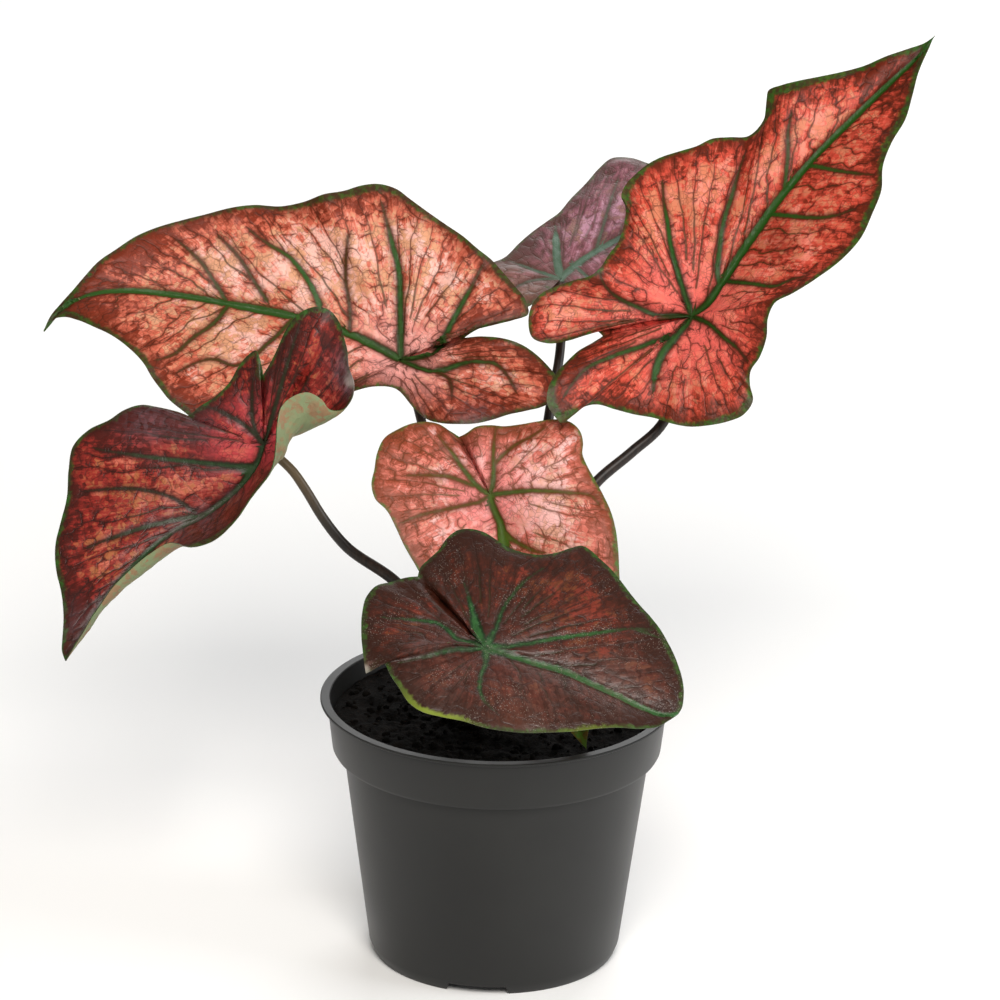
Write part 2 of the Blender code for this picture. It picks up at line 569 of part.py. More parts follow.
def make_blade(leaf, collection, material):
    """A thin waved blade: a grid whose columns are laid along the ribs, given a thickness."""
    ribs = blade_ribs(leaf)
    bpy.ops.mesh.primitive_grid_add(x_subdivisions=len(ribs), y_subdivisions=leaf.rings, size=1.0)
    blade = adopt(bpy.context.object, collection, f"blade_{leaf.name}", material)
    for vertex in blade.data.vertices:
        column = round((vertex.co.x + 0.5) * len(ribs)) % len(ribs)
        out = vertex.co.y + 0.5
        root, end, shift = ribs[column]
        place = root.lerp(end, out) + shift * (4.0 * out * (1.0 - out))
        vertex.co = place * MM
    sheet = bmesh.new()
    sheet.from_mesh(blade.data)
    bmesh.ops.remove_doubles(sheet, verts=sheet.verts, dist=0.00001)
    bmesh.ops.dissolve_degenerate(sheet, edges=sheet.edges, dist=0.00001)
    bmesh.ops.triangulate(sheet, faces=sheet.faces, quad_method="SHORT_EDGE")
    facing = sum((face.normal * face.calc_area() for face in sheet.faces), Vector())
    if facing.dot(VIEW_NEAR) < 0:
        bmesh.ops.reverse_faces(sheet, faces=sheet.faces)
    sheet.to_mesh(blade.data)
    sheet.free()
    blade.data.shade_smooth()
    body = blade.modifiers.new("Thickness", "SOLIDIFY")
    body.thickness = BLADE_THICKNESS * MM
    body.offset = -1.0
    return blade


def build():
    """Make every part of the plant and its pot."""
    clear_scene()
    parts = new_collection("potted_caladium")
    cutters = new_collection("cutters")
    leaves = [
        upper_left_leaf(),
        upper_right_leaf(),
        left_leaf(),
        back_leaf(),
        middle_leaf(),
        front_leaf(),
    ]
    make_pot(parts, cutters)
    make_soil(parts, cutters, leaves)
    rounded_tuber("tuber", 0.0, parts, finish("tuber_skin", (0.09, 0.05, 0.03, 1.0), 0.8))
    bark = finish("stem_skin", (0.022, 0.016, 0.015, 1.0), 0.4)
    for leaf in leaves:
        make_stem(leaf, parts, bark)
        make_blade(leaf, parts, finish(f"leaf_{leaf.name}", leaf.colour, 0.45))


build()
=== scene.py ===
"""The look of a potted caladium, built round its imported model.

The frame is in metres with +Z up. The origin is the middle of the pot's flat foot and the plant
faces -Y. Shapes are given in millimetres. Leaf points are given as an eye sees them that looks
along +Y and a little down: how far right of the pot's axis, how far up, how far towards the eye.
"""

import heapq
import logging
import math
from dataclasses import dataclass, field
from enum import Enum
from typing import Any, Iterable, Sequence

import bpy
import numpy as np
from mathutils import Matrix, Vector, kdtree, noise
from mathutils.bvhtree import BVHTree

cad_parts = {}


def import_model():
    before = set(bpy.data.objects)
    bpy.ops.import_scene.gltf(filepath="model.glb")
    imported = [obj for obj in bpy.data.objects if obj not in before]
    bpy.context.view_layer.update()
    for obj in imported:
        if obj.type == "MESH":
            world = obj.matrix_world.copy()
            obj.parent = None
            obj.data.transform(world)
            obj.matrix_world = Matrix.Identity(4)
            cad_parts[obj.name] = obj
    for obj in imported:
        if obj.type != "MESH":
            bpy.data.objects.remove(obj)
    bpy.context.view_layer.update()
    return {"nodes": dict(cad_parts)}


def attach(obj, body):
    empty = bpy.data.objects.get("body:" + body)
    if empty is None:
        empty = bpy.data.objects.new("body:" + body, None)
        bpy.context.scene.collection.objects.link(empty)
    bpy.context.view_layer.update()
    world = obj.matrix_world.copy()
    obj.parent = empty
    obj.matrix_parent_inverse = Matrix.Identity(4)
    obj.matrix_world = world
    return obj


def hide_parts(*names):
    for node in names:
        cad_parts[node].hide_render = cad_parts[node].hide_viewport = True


LOG = logging.getLogger("caladium")

MM = 0.001
BODY = "root"

# The eye that the leaf points are given for, which is also where the camera stands
VIEW_TILT = math.radians(20.7)
VIEW_ROLL = math.radians(0.8)
VIEW_DISTANCE = 2500.0
VIEW_WIDTH = 1000.0 / 2.98
VIEW_UP = np.array([0.0, math.sin(VIEW_TILT), math.cos(VIEW_TILT)])
VIEW_NEAR = np.array([0.0, -math.cos(VIEW_TILT), math.sin(VIEW_TILT)])
VIEW_CENTRE = np.array([0.0, 0.0, 163.2])

Row = tuple[float, ...]
Line = tuple[np.ndarray, np.ndarray]
Piece = bpy.types.Object
Socket = bpy.types.NodeSocket


class LeafName(Enum):
    """The six leaves, each by its place in the plant."""

    UPPER_LEFT = "upper_left"
    UPPER_RIGHT = "upper_right"
    LEFT = "left"
    BACK = "back"
    MIDDLE = "middle"
    FRONT = "front"


class Tint(Enum):
    """What a soft patch does to a leaf where it lies."""

    PALE = "pale"
    DARK = "dark"
    GREEN = "green"
    YELLOW = "yellow"
    BROWN = "brown"
    # Painted sheen and shade, purple-grey, with a painted highlight where it is strongest
    PAINTED_SHEEN = "grey"
    BROAD_EDGE = "broad edge"


class Shading(Enum):
    """How a finished piece is shaded."""

    SMOOTH = "smooth"
    SMOOTH_WITH_EDGES = "smooth with edges"


class Step(Enum):
    """One step of a finish: its shader node, the output that is read, and its options."""

    PLACE = ("ShaderNodeTexCoord", "Object", {})
    KEPT = ("ShaderNodeAttribute", "Vector", {})
    KEPT_SHARE = ("ShaderNodeAttribute", "Fac", {})
    AXES = ("ShaderNodeSeparateXYZ", 0, {})
    DRAW_OUT = ("ShaderNodeMapping", 0, {})
    CLOUDS = ("ShaderNodeTexNoise", 0, {})
    CLOUD_COLOURS = ("ShaderNodeTexNoise", 1, {})
    RINGS = ("ShaderNodeTexWave", "Fac", {"wave_type": "BANDS", "bands_direction": "Z"})
    CELL_WALLS = ("ShaderNodeTexVoronoi", "Distance", {"feature": "DISTANCE_TO_EDGE"})
    CELL_SPOTS = ("ShaderNodeTexVoronoi", "Distance", {"feature": "F1"})
    CELL_TONES = ("ShaderNodeTexVoronoi", "Color", {"feature": "F1"})
    ADD = ("ShaderNodeMath", 0, {"operation": "ADD"})
    TIMES = ("ShaderNodeMath", 0, {"operation": "MULTIPLY"})
    TIMES_PLUS = ("ShaderNodeMath", 0, {"operation": "MULTIPLY_ADD"})
    LARGER = ("ShaderNodeMath", 0, {"operation": "MAXIMUM"})
    SIZE = ("ShaderNodeMath", 0, {"operation": "ABSOLUTE"})
    RANGE = ("ShaderNodeMapRange", 0, {})
    RAMP = ("ShaderNodeMapRange", 0, {"interpolation_type": "SMOOTHSTEP"})
    BEND = ("ShaderNodeMix", 1, {"data_type": "VECTOR"})
    PAINT = ("ShaderNodeMix", 2, {"data_type": "RGBA"})
    RELIEF = ("ShaderNodeBump", 0, {})
    THROUGH = ("ShaderNodeBsdfTranslucent", 0, {})
    BOTH = ("ShaderNodeMixShader", 0, {})


# ---------------------------------------------------------------------------------------------
# Small tools
# ---------------------------------------------------------------------------------------------


def from_view(points: Any) -> np.ndarray:
    """Turn points given as the eye sees them into places in the model.

    Args:
        points: Points as (right, up, near), in millimetres.

    Returns:
        The same points as (x, y, z), in millimetres.
    """
    points = np.atleast_2d(np.asarray(points, float))
    shrink = 1.0 - points[:, 2:3] / VIEW_DISTANCE
    across = points[:, 0:1] * shrink * np.array([[1.0, 0.0, 0.0]])
    return VIEW_CENTRE + across + points[:, 1:2] * shrink * VIEW_UP + points[:, 2:3] * VIEW_NEAR


def to_view(points: np.ndarray) -> np.ndarray:
    """Turn places in the model into points as the eye sees them.

    Args:
        points: Places as (x, y, z), in millimetres.

    Returns:
        The same points as (right, up, near), in millimetres.
    """
    apart = np.atleast_2d(points) - VIEW_CENTRE
    near = apart @ VIEW_NEAR
    shrink = 1.0 - near / VIEW_DISTANCE
    return np.stack([apart[:, 0] / shrink, (apart @ VIEW_UP) / shrink, near], axis=1)


def rows(text: str) -> list[Row]:
    """Read rows of numbers, with a comma between two rows and a space between two numbers."""
    return [tuple(float(number) for number in row.split()) for row in text.split(",")]


def colour(code: str) -> Row:
    """Turn an sRGB hex colour into the linear colour that a shader takes.

    Args:
        code: The colour as #rrggbb.

    Returns:
        Linear red, green, blue and an alpha of 1.
    """
    parts = [int(code[i:i + 2], 16) / 255.0 for i in (1, 3, 5)]
    linear = [p / 12.92 if p <= 0.04045 else ((p + 0.055) / 1.055) ** 2.4 for p in parts]
    return linear[0], linear[1], linear[2], 1.0


def smooth_rows(given: np.ndarray, at: np.ndarray, corners: Iterable[int] = ()) -> np.ndarray:
    """Read a smooth curve through rows of numbers.

    Args:
        given: The rows. Their first three columns are places, which set the spacing.
        at: Where to read, as row numbers with fractions.
        corners: Rows where the curve has a sharp corner.

    Returns:
        One row for each place that was asked for.
    """
    chord = np.linalg.norm(np.diff(given[:, :3], axis=0), axis=1)[:, None] + 1e-6
    slope = np.diff(given, axis=0) / chord
    middle = (slope[:-1] * chord[1:] + slope[1:] * chord[:-1]) / (chord[1:] + chord[:-1])
    leaving = np.concatenate([slope[:1], middle, slope[-1:]])
    coming = leaving.copy()
    last = len(given) - 1
    for corner in sorted({0, last, *corners}):
        if corner < last:
            ahead = coming[corner + 1] if corner + 1 < last else slope[corner]
            leaving[corner] = 1.5 * slope[corner] - 0.5 * ahead
        if corner > 0:
            behind = leaving[corner - 1] if corner > 1 else slope[corner - 1]
            coming[corner] = 1.5 * slope[corner - 1] - 0.5 * behind
    first = np.clip(np.floor(at).astype(int), 0, last - 1)
    t = (at - first)[:, None]
    span = chord[first]
    return (
        (2 * t**3 - 3 * t**2 + 1) * given[first]
        + (t**3 - 2 * t**2 + t) * span * leaving[first]
        + (3 * t**2 - 2 * t**3) * given[first + 1]
        + (t**3 - t**2) * span * coming[first + 1]
    )


def run_along(points: np.ndarray) -> np.ndarray:
    """Return how far along a line each of its points is, from 0 at the first."""
    return np.concatenate([[0.0], np.cumsum(np.linalg.norm(np.diff(points, axis=0), axis=1))])


def columns_at(at: np.ndarray, run: np.ndarray, given: np.ndarray) -> np.ndarray:
    """Return rows read in between given rows, each column on its own."""
    return np.stack([np.interp(at, run, given[:, i]) for i in range(given.shape[1])], axis=1)


def even_path(points: np.ndarray, step: float) -> np.ndarray:
    """Read a smooth curve through points at an even step.

    Args:
        points: The points, in order, in millimetres.
        step: The step, in millimetres.

    Returns:
        The points of the curve.
    """
    dense = smooth_rows(points, np.linspace(0, len(points) - 1, 24 * len(points)))
    run = run_along(dense)
    return columns_at(np.linspace(0.0, run[-1], max(2, int(run[-1] / step) + 1)), run, dense)


def search_tree(places: np.ndarray) -> kdtree.KDTree:
    """Make places ready to be searched.

    Args:
        places: The places.

    Returns:
        A tree that finds which of them is nearest.
    """
    tree = kdtree.KDTree(len(places))
    for i, place in enumerate(places):
        tree.insert(place, i)
    tree.balance()
    return tree


def object_mode() -> None:
    """Go back from edit mode."""
    bpy.ops.object.mode_set(mode="OBJECT")


def deselect() -> None:
    """Leave edit mode and select nothing."""
    if bpy.context.object and bpy.context.object.mode != "OBJECT":
        object_mode()
    bpy.ops.object.select_all(action="DESELECT")


def select_only(piece: Piece) -> None:
    """Select one piece alone, as the active one.

    Args:
        piece: The piece.
    """
    deselect()
    piece.select_set(True)
    bpy.context.view_layer.objects.active = piece


def name_piece(piece: Piece, name: str) -> Piece:
    """Give a piece and its mesh one name, and no material yet.

    Args:
        piece: The piece.
        name: Its name.

    Returns:
        The same piece.
    """
    piece.name = piece.data.name = name
    piece.data.materials.clear()
    return piece


def edit_mesh(piece: Piece) -> None:
    """Go into edit mode on one piece with all of it selected.

    Args:
        piece: The piece.
    """
    select_only(piece)
    bpy.ops.object.mode_set(mode="EDIT")
    bpy.ops.mesh.select_all(action="SELECT")


def apply_modifiers(piece: Piece) -> None:
    """Apply all of a piece's modifiers in order.

    Args:
        piece: The piece.
    """
    select_only(piece)
    for modifier in list(piece.modifiers):
        bpy.ops.object.modifier_apply(modifier=modifier.name)


def shade(piece: Piece, kind: Shading, edge_angle: float = 60.0) -> None:
    """Shade a piece smooth, with or without its sharp edges.

    Args:
        piece: The piece.
        kind: How it is shaded.
        edge_angle: Edges that turn more than this many degrees stay sharp.
    """
    select_only(piece)
    if kind is Shading.SMOOTH:
        bpy.ops.object.shade_smooth()
    else:
        bpy.ops.object.shade_smooth_by_angle(angle=math.radians(edge_angle))


def numbers(items: Any, name: str, width: int = 3, kind: type = np.float32) -> np.ndarray:
    """Read what a mesh keeps for each of its points or edges.

    Args:
        items: The mesh's own collection.
        name: The property that is read.
        width: How many numbers it has.
        kind: Their kind in the mesh.

    Returns:
        One row for each item.
    """
    flat = np.empty(len(items) * width, kind)
    items.foreach_get(name, flat)
    return flat.reshape(-1, width).astype(float if kind is np.float32 else int)


def mesh_points(piece: Piece) -> np.ndarray:
    """Return a mesh's points, in millimetres."""
    return numbers(piece.data.vertices, "co") / MM


def move_points(piece: Piece, points: np.ndarray) -> None:
    """Set a mesh's points, given in millimetres."""
    piece.data.vertices.foreach_set("co", (points * MM).astype(np.float32).ravel())
    piece.data.update()


def point_normals(piece: Piece) -> np.ndarray:
    """Return the direction in which a mesh faces at each of its points."""
    return numbers(piece.data.vertex_normals, "vector")


def edge_pairs(piece: Piece) -> np.ndarray:
    """Return the two points of each edge of a mesh."""
    return numbers(piece.data.edges, "vertices", 2, np.int32)


def noise_at(points: np.ndarray, size: float, shift: float) -> np.ndarray:
    """Return a cloudy noise at each point, its clouds about size millimetres across."""
    return np.array([noise.noise(Vector(point / size + shift)) for point in points])


def store(piece: Piece, name: str, *columns: np.ndarray) -> None:
    """Keep three numbers for each point of a mesh, for the materials to read.

    Args:
        piece: The piece.
        name: The attribute's name.
        *columns: The three numbers, each for all points.
    """
    layer = piece.data.attributes.new(name, "FLOAT_VECTOR", "POINT")
    layer.data.foreach_set("vector", np.stack(columns, axis=1).astype(np.float32).ravel())


def stored(piece: Piece, name: str) -> np.ndarray:
    """Return the three numbers kept for each point of a mesh."""
    return numbers(piece.data.attributes[name].data, "vector")


def lathe(name: str, profile: Sequence[Row], steps: int) -> Piece:
    """Draw a profile with extrude and turn it once round the upright axis.

    Args:
        name: The piece's name.
        profile: (radius, height) pairs in millimetres.
        steps: Steps in the turn.

    Returns:
        The turned piece.
    """
    deselect()
    radius, height = profile[0]
    bpy.ops.mesh.primitive_plane_add(size=MM, location=(radius * MM, 0.0, height * MM))
    piece = name_piece(bpy.context.object, name)
    bpy.ops.object.transform_apply(location=True, rotation=True, scale=True)
    edit_mesh(piece)
    bpy.ops.mesh.merge(type="CENTER")
    for (r0, z0), (r1, z1) in zip(profile, profile[1:]):
        move = ((r1 - r0) * MM, 0.0, (z1 - z0) * MM)
        bpy.ops.mesh.extrude_region_move(TRANSFORM_OT_translate={"value": move})
    bpy.ops.mesh.select_all(action="SELECT")
    bpy.ops.mesh.spin(steps=steps, angle=math.tau, center=(0, 0, 0), axis=(0, 0, 1))
    bpy.ops.mesh.select_all(action="SELECT")
    bpy.ops.mesh.remove_doubles(threshold=0.01 * MM)
    bpy.ops.mesh.normals_make_consistent(inside=False)
    object_mode()
    return piece


# ---------------------------------------------------------------------------------------------
# Finishes
# ---------------------------------------------------------------------------------------------


class Finish:
    """A material that is being made: its shader, and where a pattern lies on the piece."""

    def __init__(self, title: str) -> None:
        """Start a material.

        Args:
            title: Its name.
        """
        self.material = bpy.data.materials.new(title)
        self.material.use_nodes = True
        self.tree = self.material.node_tree
        self.place = self.add(Step.PLACE, {})

    def join(self, node: bpy.types.Node, inputs: dict[Any, Any]) -> None:
        """Fill a node's sockets.

        Args:
            node: The node.
            inputs: A source, a hex colour or a plain value for each socket.
        """
        for socket, value in inputs.items():
            if isinstance(value, Socket):
                self.tree.links.new(value, node.inputs[socket])
            else:
                value = colour(value) if isinstance(value, str) else value
                node.inputs[socket].default_value = value

    def add(self, step: Step, inputs: dict[Any, Any], **options: Any) -> Socket:
        """Add a shader node with its settings and its links.

        Args:
            step: The kind of step.
            inputs: What goes into its sockets, by name or number.
            **options: More of the node's own properties.

        Returns:
            The output that the step is read from.
        """
        kind, output, settings = step.value
        node = self.tree.nodes.new(kind)
        for name, value in {**settings, **options}.items():
            setattr(node, name, value)
        self.join(node, inputs)
        return node.outputs[output]

    def total(self, *terms: tuple[Any, float]) -> Socket:
        """Add up patterns.

        Args:
            *terms: Each pattern, and the number that it is multiplied by.

        Returns:
            Their sum.
        """
        result: Any = 0.0
        for value, factor in terms:
            result = self.add(Step.TIMES_PLUS, {0: value, 1: factor, 2: result})
        return result

    def coat(self, base: Any, *layers: tuple[Any, Any, float]) -> Socket:
        """Lay colours over a base.

        Args:
            base: The colour below.
            *layers: The colours in order, each as (share, colour, strength).

        Returns:
            The colour that results.
        """
        for share, over, strength in layers:
            part = self.add(Step.TIMES, {0: share, 1: strength})
            base = self.add(Step.PAINT, {0: part, 6: base, 7: over})
        return base

    def done(self, inputs: dict[str, Any]) -> bpy.types.Material:
        """Fill the shader's sockets and return the material."""
        self.join(self.tree.nodes["Principled BSDF"], inputs)
        return self.material


@dataclass(frozen=True)
class LeafSkin:
    """A caladium leaf: thin living tissue with a waxy skin, coloured by the light it lets through.

    The tissue between the veins is pink to dark red and streaked along the ribs with paler
    islands. A net of brown lines runs through it, the main veins are green, and so is the edge.
    """

    name: str
    light: str
    tan: str
    middle: str
    deep: str
    glow: str
    net: str
    vein: str
    vein_dark: str
    edge: str
    edge_dark: str
    back: str
    back_vein: str
    blot: str = "#5a2a16"
    # Colour of the painted sheen: the sky's reflection in the waxy skin, painted into the tissue's
    # colour
    painted_sheen: str = "#70565c"
    glow_reach: float = 26.0
    glow_strength: float = 0.75
    edge_width: float = 2.3
    net_strength: float = 0.5
    fine_strength: float = 0.4
    twig_strength: float = 0.75
    outline: float = 0.75
    island_size: float = 13.0
    lightness: float = 0.5
    contrast: float = 0.3
    mottle: float = 0.4
    fray: float = 0.5
    back_share: float = 0.75
    roughness: float = 0.4
    gloss: float = 0.3
    see_through: float = 0.3
    dust: float = 0.0
    cell_size: float = 4.4

    def build(self, underside: bool = False) -> bpy.types.Material:
        """Make the material of one face of the leaf.

        Args:
            underside: Make the paler lower face.

        Returns:
            The material.
        """
        skin = Finish(f"leaf_{self.name}_{'underside' if underside else 'upper_skin'}")
        add, total, coat, ramp, times = skin.add, skin.total, skin.coat, Step.RAMP, Step.TIMES
        kept = {name: add(Step.KEPT, {}, attribute_name=name)
                for name in ("vein", "twig", "cell", "place", "tint", "course")}
        vein, twig, cell, place, tint, course = (
            list(add(Step.AXES, {0: layer}).node.outputs) for layer in kept.values())
        (margin, root, pale), (green_patch, yellow_patch, brown_patch) = place, tint

        # Cloudy noises, by the size of their clouds in millimetres, their detail and their warp
        (unrest, faint, fine_gaps, clouds, flesh, tanning, edge_waves, edge_tones, vein_tones,
         powder, tooth, sheen) = (
            add(Step.CLOUDS, {"Vector": skin.place, "Scale": 1.0 / (size * MM), "Detail": detail,
                              "Roughness": 0.55, "Distortion": warp})
            for size, detail, warp in (
                (1.6, 4.0, 0.0), (7.0, 3.0, 0.0), (5.0, 3.0, 0.0), (self.island_size, 4.0, 0.8),
                (1.8, 2.0, 0.0), (9.0, 3.0, 0.0), (5.0, 4.0, 0.0), (2.0, 4.0, 0.0),
                (2.2, 4.0, 0.0), (14.0, 3.0, 0.0), (1.0, 2.0, 0.0), (2.5, 3.0, 0.0)))
        # Streaks along the ribs, by their millimetres across and along, and their detail
        drawn, narrow = (
            add(Step.CLOUDS, {"Vector": add(Step.DRAW_OUT, {
                "Vector": kept["course"], "Scale": (1.0 / across, 1.0 / along, 0.0)}),
                "Scale": 1.0, "Detail": detail, "Roughness": 0.6, "Distortion": 0.4})
            for across, along, detail in ((2.4, 15.0, 3.0), (0.9, 6.0, 2.0)))
        # The finest net, whose meshes are about 1.6 mm across, each with a tone of its own
        stirred = add(Step.CLOUD_COLOURS, {"Vector": skin.place, "Scale": 260.0, "Detail": 2.0})
        bent = {"Vector": add(Step.BEND, {0: 0.0016, 4: skin.place, 5: stirred}), "Scale": 620.0}
        fine_net, fleck = add(Step.CELL_WALLS, bent), add(Step.CELL_TONES, bent)

        # Distance to the nearest line, kept sharp where the line passes between points
        to_vein, to_twig, to_cell = (
            add(Step.LARGER, {0: add(Step.SIZE, {0: layer[0]}),
                              1: add(Step.ADD, {0: layer[1], 1: -1.0})})
            for layer in (vein, twig, cell))
        waver = add(Step.ADD, {0: unrest, 1: -0.5})
        from_vein = total((to_vein, 1.0), (vein[2], -1.0), (waver, self.fray * 1.6),
                          (green_patch, -4.0))
        from_twig = total((to_twig, 1.0), (twig[2], -1.0), (waver, 0.35))
        from_cell = total((to_cell, 1.0), (waver, 0.3))
        in_vein = add(ramp, {0: from_vein, 1: 0.25 + self.fray * 0.3, 2: -0.25})
        by_vein = add(ramp, {0: total((from_vein, 1.0), (waver, 1.5)), 1: 2.4, 2: 0.1})
        in_twig = add(ramp, {0: from_twig, 1: 0.24, 2: -0.06})
        by_twig = add(ramp, {0: from_twig, 1: 1.2, 2: 0.0})
        shown = add(times, {0: add(ramp, {0: faint, 1: 0.3, 2: 0.62}),
                            1: add(ramp, {0: root, 1: 4.0, 2: 24.0})})
        in_net = add(times, {0: add(ramp, {0: from_cell, 1: 0.24, 2: 0.02}), 1: shown})
        in_fine = add(times, {0: add(ramp, {0: fine_net, 1: 0.13, 2: 0.02}),
                              1: add(ramp, {0: fine_gaps, 1: 0.66, 2: 0.36})})

        # Tissue: light and dark islands and streaks, and a glow round the joint
        level = total((clouds, 1.0), (drawn, 0.9), (narrow, 0.5), (flesh, 0.35), (cell[2], 0.2),
                      (fleck, self.mottle), (pale, 0.35), (by_twig, -0.14),
                      (add(ramp, {0: margin, 1: 14.0, 2: 1.0}), -0.36))
        middle = 1.93 + self.mottle * 0.5 - self.lightness
        lit = add(ramp, {0: level, 1: middle - self.contrast * 0.3, 2: middle + self.contrast})
        dark = add(ramp, {0: level, 1: middle, 2: middle - self.contrast * 1.4})
        tan_share = total((tanning, 1.0), (fleck, 0.25), (root, 0.0016))
        light = coat(self.light, (add(ramp, {0: tan_share, 1: 0.6, 2: 0.76}), self.tan, 0.85))
        reach = total((root, 1.0), (clouds, 16.0), (drawn, 8.0))
        glowing = add(ramp, {0: reach, 1: self.glow_reach + 12.0, 2: 14.0})

        # Lines, edge and veins
        twig_colour = coat(self.net, (add(ramp, {0: twig[2], 1: 0.12, 2: 0.24}),
                                      self.vein_dark, 0.7))
        edge_at = total((margin, 1.0), (edge_waves, -2.4), (drawn, -1.2), (waver, 1.6),
                        (fleck, -0.9))
        in_edge = add(ramp, {0: edge_at, 1: self.edge_width - 1.5, 2: self.edge_width - 3.0})
        by_edge = add(ramp, {0: edge_at, 1: self.edge_width + 2.4, 2: self.edge_width - 2.6})
        edge_tone = total((edge_tones, 1.0), (fleck, 0.2))
        edging = coat(self.edge_dark, (add(ramp, {0: edge_tone, 1: 0.5, 2: 0.8}), self.edge, 1.0),
                      (yellow_patch, "#7a8a28", 0.8))
        heart = add(ramp, {0: from_vein, 1: -0.15, 2: -0.9})
        green_tone = total((heart, 0.4), (vein_tones, 1.0), (root, 0.014))
        green = coat(self.vein_dark, (add(ramp, {0: green_tone, 1: 0.6, 2: 1.2}), self.vein, 1.0),
                     (add(ramp, {0: vein[2], 1: 0.7, 2: 0.3}), self.net, 0.7))
        # Painted sheen: streaks of the sheen colour where the sheen patches in the course's third
        # number lie, standing in for the sky reflected in the wax
        painted_sheen = total((drawn, 0.5), (narrow, 0.4), (fleck, 0.3))
        painted_sheen_share = add(times, {0: course[2], 1: add(ramp, {0: painted_sheen, 1: 0.35, 2: 0.85})})
        tissue = coat(
            self.middle, (lit, light, 1.0), (dark, self.deep, 1.0),
            (glowing, self.glow, self.glow_strength), (brown_patch, self.blot, 0.8),
            (in_fine, self.net, self.fine_strength), (in_net, self.net, self.net_strength),
            (by_twig, self.net, 0.16), (in_twig, twig_colour, self.twig_strength),
            (by_vein, self.net, 0.6),
            (add(ramp, {0: from_vein, 1: 0.8, 2: 0.15}), self.net, self.outline),
            (by_edge, self.net, 0.45), (in_edge, edging, 0.9), (in_vein, green, 0.95),
            # Painted sheen over everything, then a pale painted highlight where the sheen patches
            # are strongest
            (painted_sheen_share, self.painted_sheen, 0.8),
            (add(ramp, {0: course[2], 1: 1.0, 2: 1.7}), "#a9a498", 0.7))
        height = total((in_net, -0.4), (in_fine, -0.3), (in_twig, -0.7), (tooth, 0.5),
                       (narrow, 0.8))
        if underside:
            blotch = total((clouds, 1.0), (fleck, 0.3))
            tissue = coat(tissue, (self.back_share, self.back, 1.0),
                          (add(ramp, {0: blotch, 1: 0.56, 2: 0.76}), self.middle, 0.4),
                          (in_vein, self.back_vein, 0.7))
            height = add(times, {0: height, 1: -1.0})
        elif self.dust:
            specks = add(Step.CELL_SPOTS, {"Vector": skin.place, "Scale": 1500.0})
            speck = add(times, {0: add(ramp, {0: specks, 1: 0.3, 2: 0.1}),
                                1: add(ramp, {0: powder, 1: 0.44, 2: 0.62})})
            tissue = coat(tissue, (speck, "#a3958a", self.dust))
        rough = self.roughness + (0.1 if underside else -0.1)
        material = skin.done({
            "Base Color": tissue,
            "Roughness": add(Step.TIMES_PLUS, {0: sheen, 1: 0.2, 2: rough}),
            "Normal": add(Step.RELIEF, {"Height": height, "Strength": 0.6,
                                        "Distance": 0.14 * MM}),
            "IOR": 1.42, "Specular IOR Level": self.gloss})
        through = add(Step.THROUGH, {0: tissue})
        face = skin.tree.nodes["Principled BSDF"].outputs[0]
        both = add(Step.BOTH, {0: self.see_through, 1: face, 2: through})
        skin.join(skin.tree.nodes["Material Output"], {"Surface": both})
        return material


@dataclass(frozen=True)
class PetioleSkin:
    """A caladium leaf stalk: smooth, dark brown to black, faintly streaked along its length."""

    dark: str = "#100d0c"
    brown: str = "#2c211b"
    young: str = "#57482f"

    def build(self) -> bpy.types.Material:
        """Mix the finish.

        Returns:
            The material.
        """
        skin = Finish("leaf_stalk_skin")
        # Streaks about 1 mm wide, drawn out along the upright axis
        drawn = skin.add(Step.DRAW_OUT, {"Vector": skin.place, "Scale": (1.0, 1.0, 0.12)})
        streak = skin.add(Step.CLOUDS, {"Vector": drawn, "Scale": 900.0, "Detail": 3.0})
        cloud = skin.add(Step.CLOUDS, {"Vector": skin.place, "Scale": 60.0, "Detail": 2.0})
        share = skin.add(Step.RANGE, {0: skin.add(Step.TIMES, {0: streak, 1: cloud}),
                                      1: 0.18, 2: 0.4})
        # Olive brown where the stalk is youngest, next to the blade
        young = skin.add(Step.KEPT_SHARE, {}, attribute_name="young")
        return skin.done({
            "Base Color": skin.coat(self.dark, (share, self.brown, 1.0), (young, self.young, 1.0)),
            "Normal": skin.add(Step.RELIEF, {"Height": streak, "Strength": 0.3,
                                             "Distance": 0.1 * MM}),
            "Roughness": 0.42, "Specular IOR Level": 0.3})


@dataclass(frozen=True)
class PotPlastic:
    """Thin moulded polypropylene with carbon black: dark warm grey, with a satin skin."""

    base: str = "#1c1c1b"
    scuffed: str = "#272725"

    def build(self) -> bpy.types.Material:
        """Mix the finish.

        Returns:
            The material.
        """
        wall = Finish("moulded_polypropylene")
        # Moulded grain about 0.5 mm across and a few cloudy scuffs
        grain = wall.add(Step.CLOUDS, {"Vector": wall.place, "Scale": 2000.0, "Detail": 2.0})
        cloud = wall.add(Step.CLOUDS, {"Vector": wall.place, "Scale": 26.0, "Detail": 4.0})
        share = wall.add(Step.RANGE, {0: cloud, 1: 0.42, 2: 0.85, 4: 0.5})
        return wall.done({
            "Base Color": wall.coat(self.base, (share, self.scuffed, 1.0)),
            "Roughness": wall.add(Step.RANGE, {0: cloud, 3: 0.36, 4: 0.52}),
            "Normal": wall.add(Step.RELIEF, {"Height": grain, "Strength": 0.25,
                                             "Distance": 0.05 * MM}),
            "IOR": 1.49, "Specular IOR Level": 0.32})


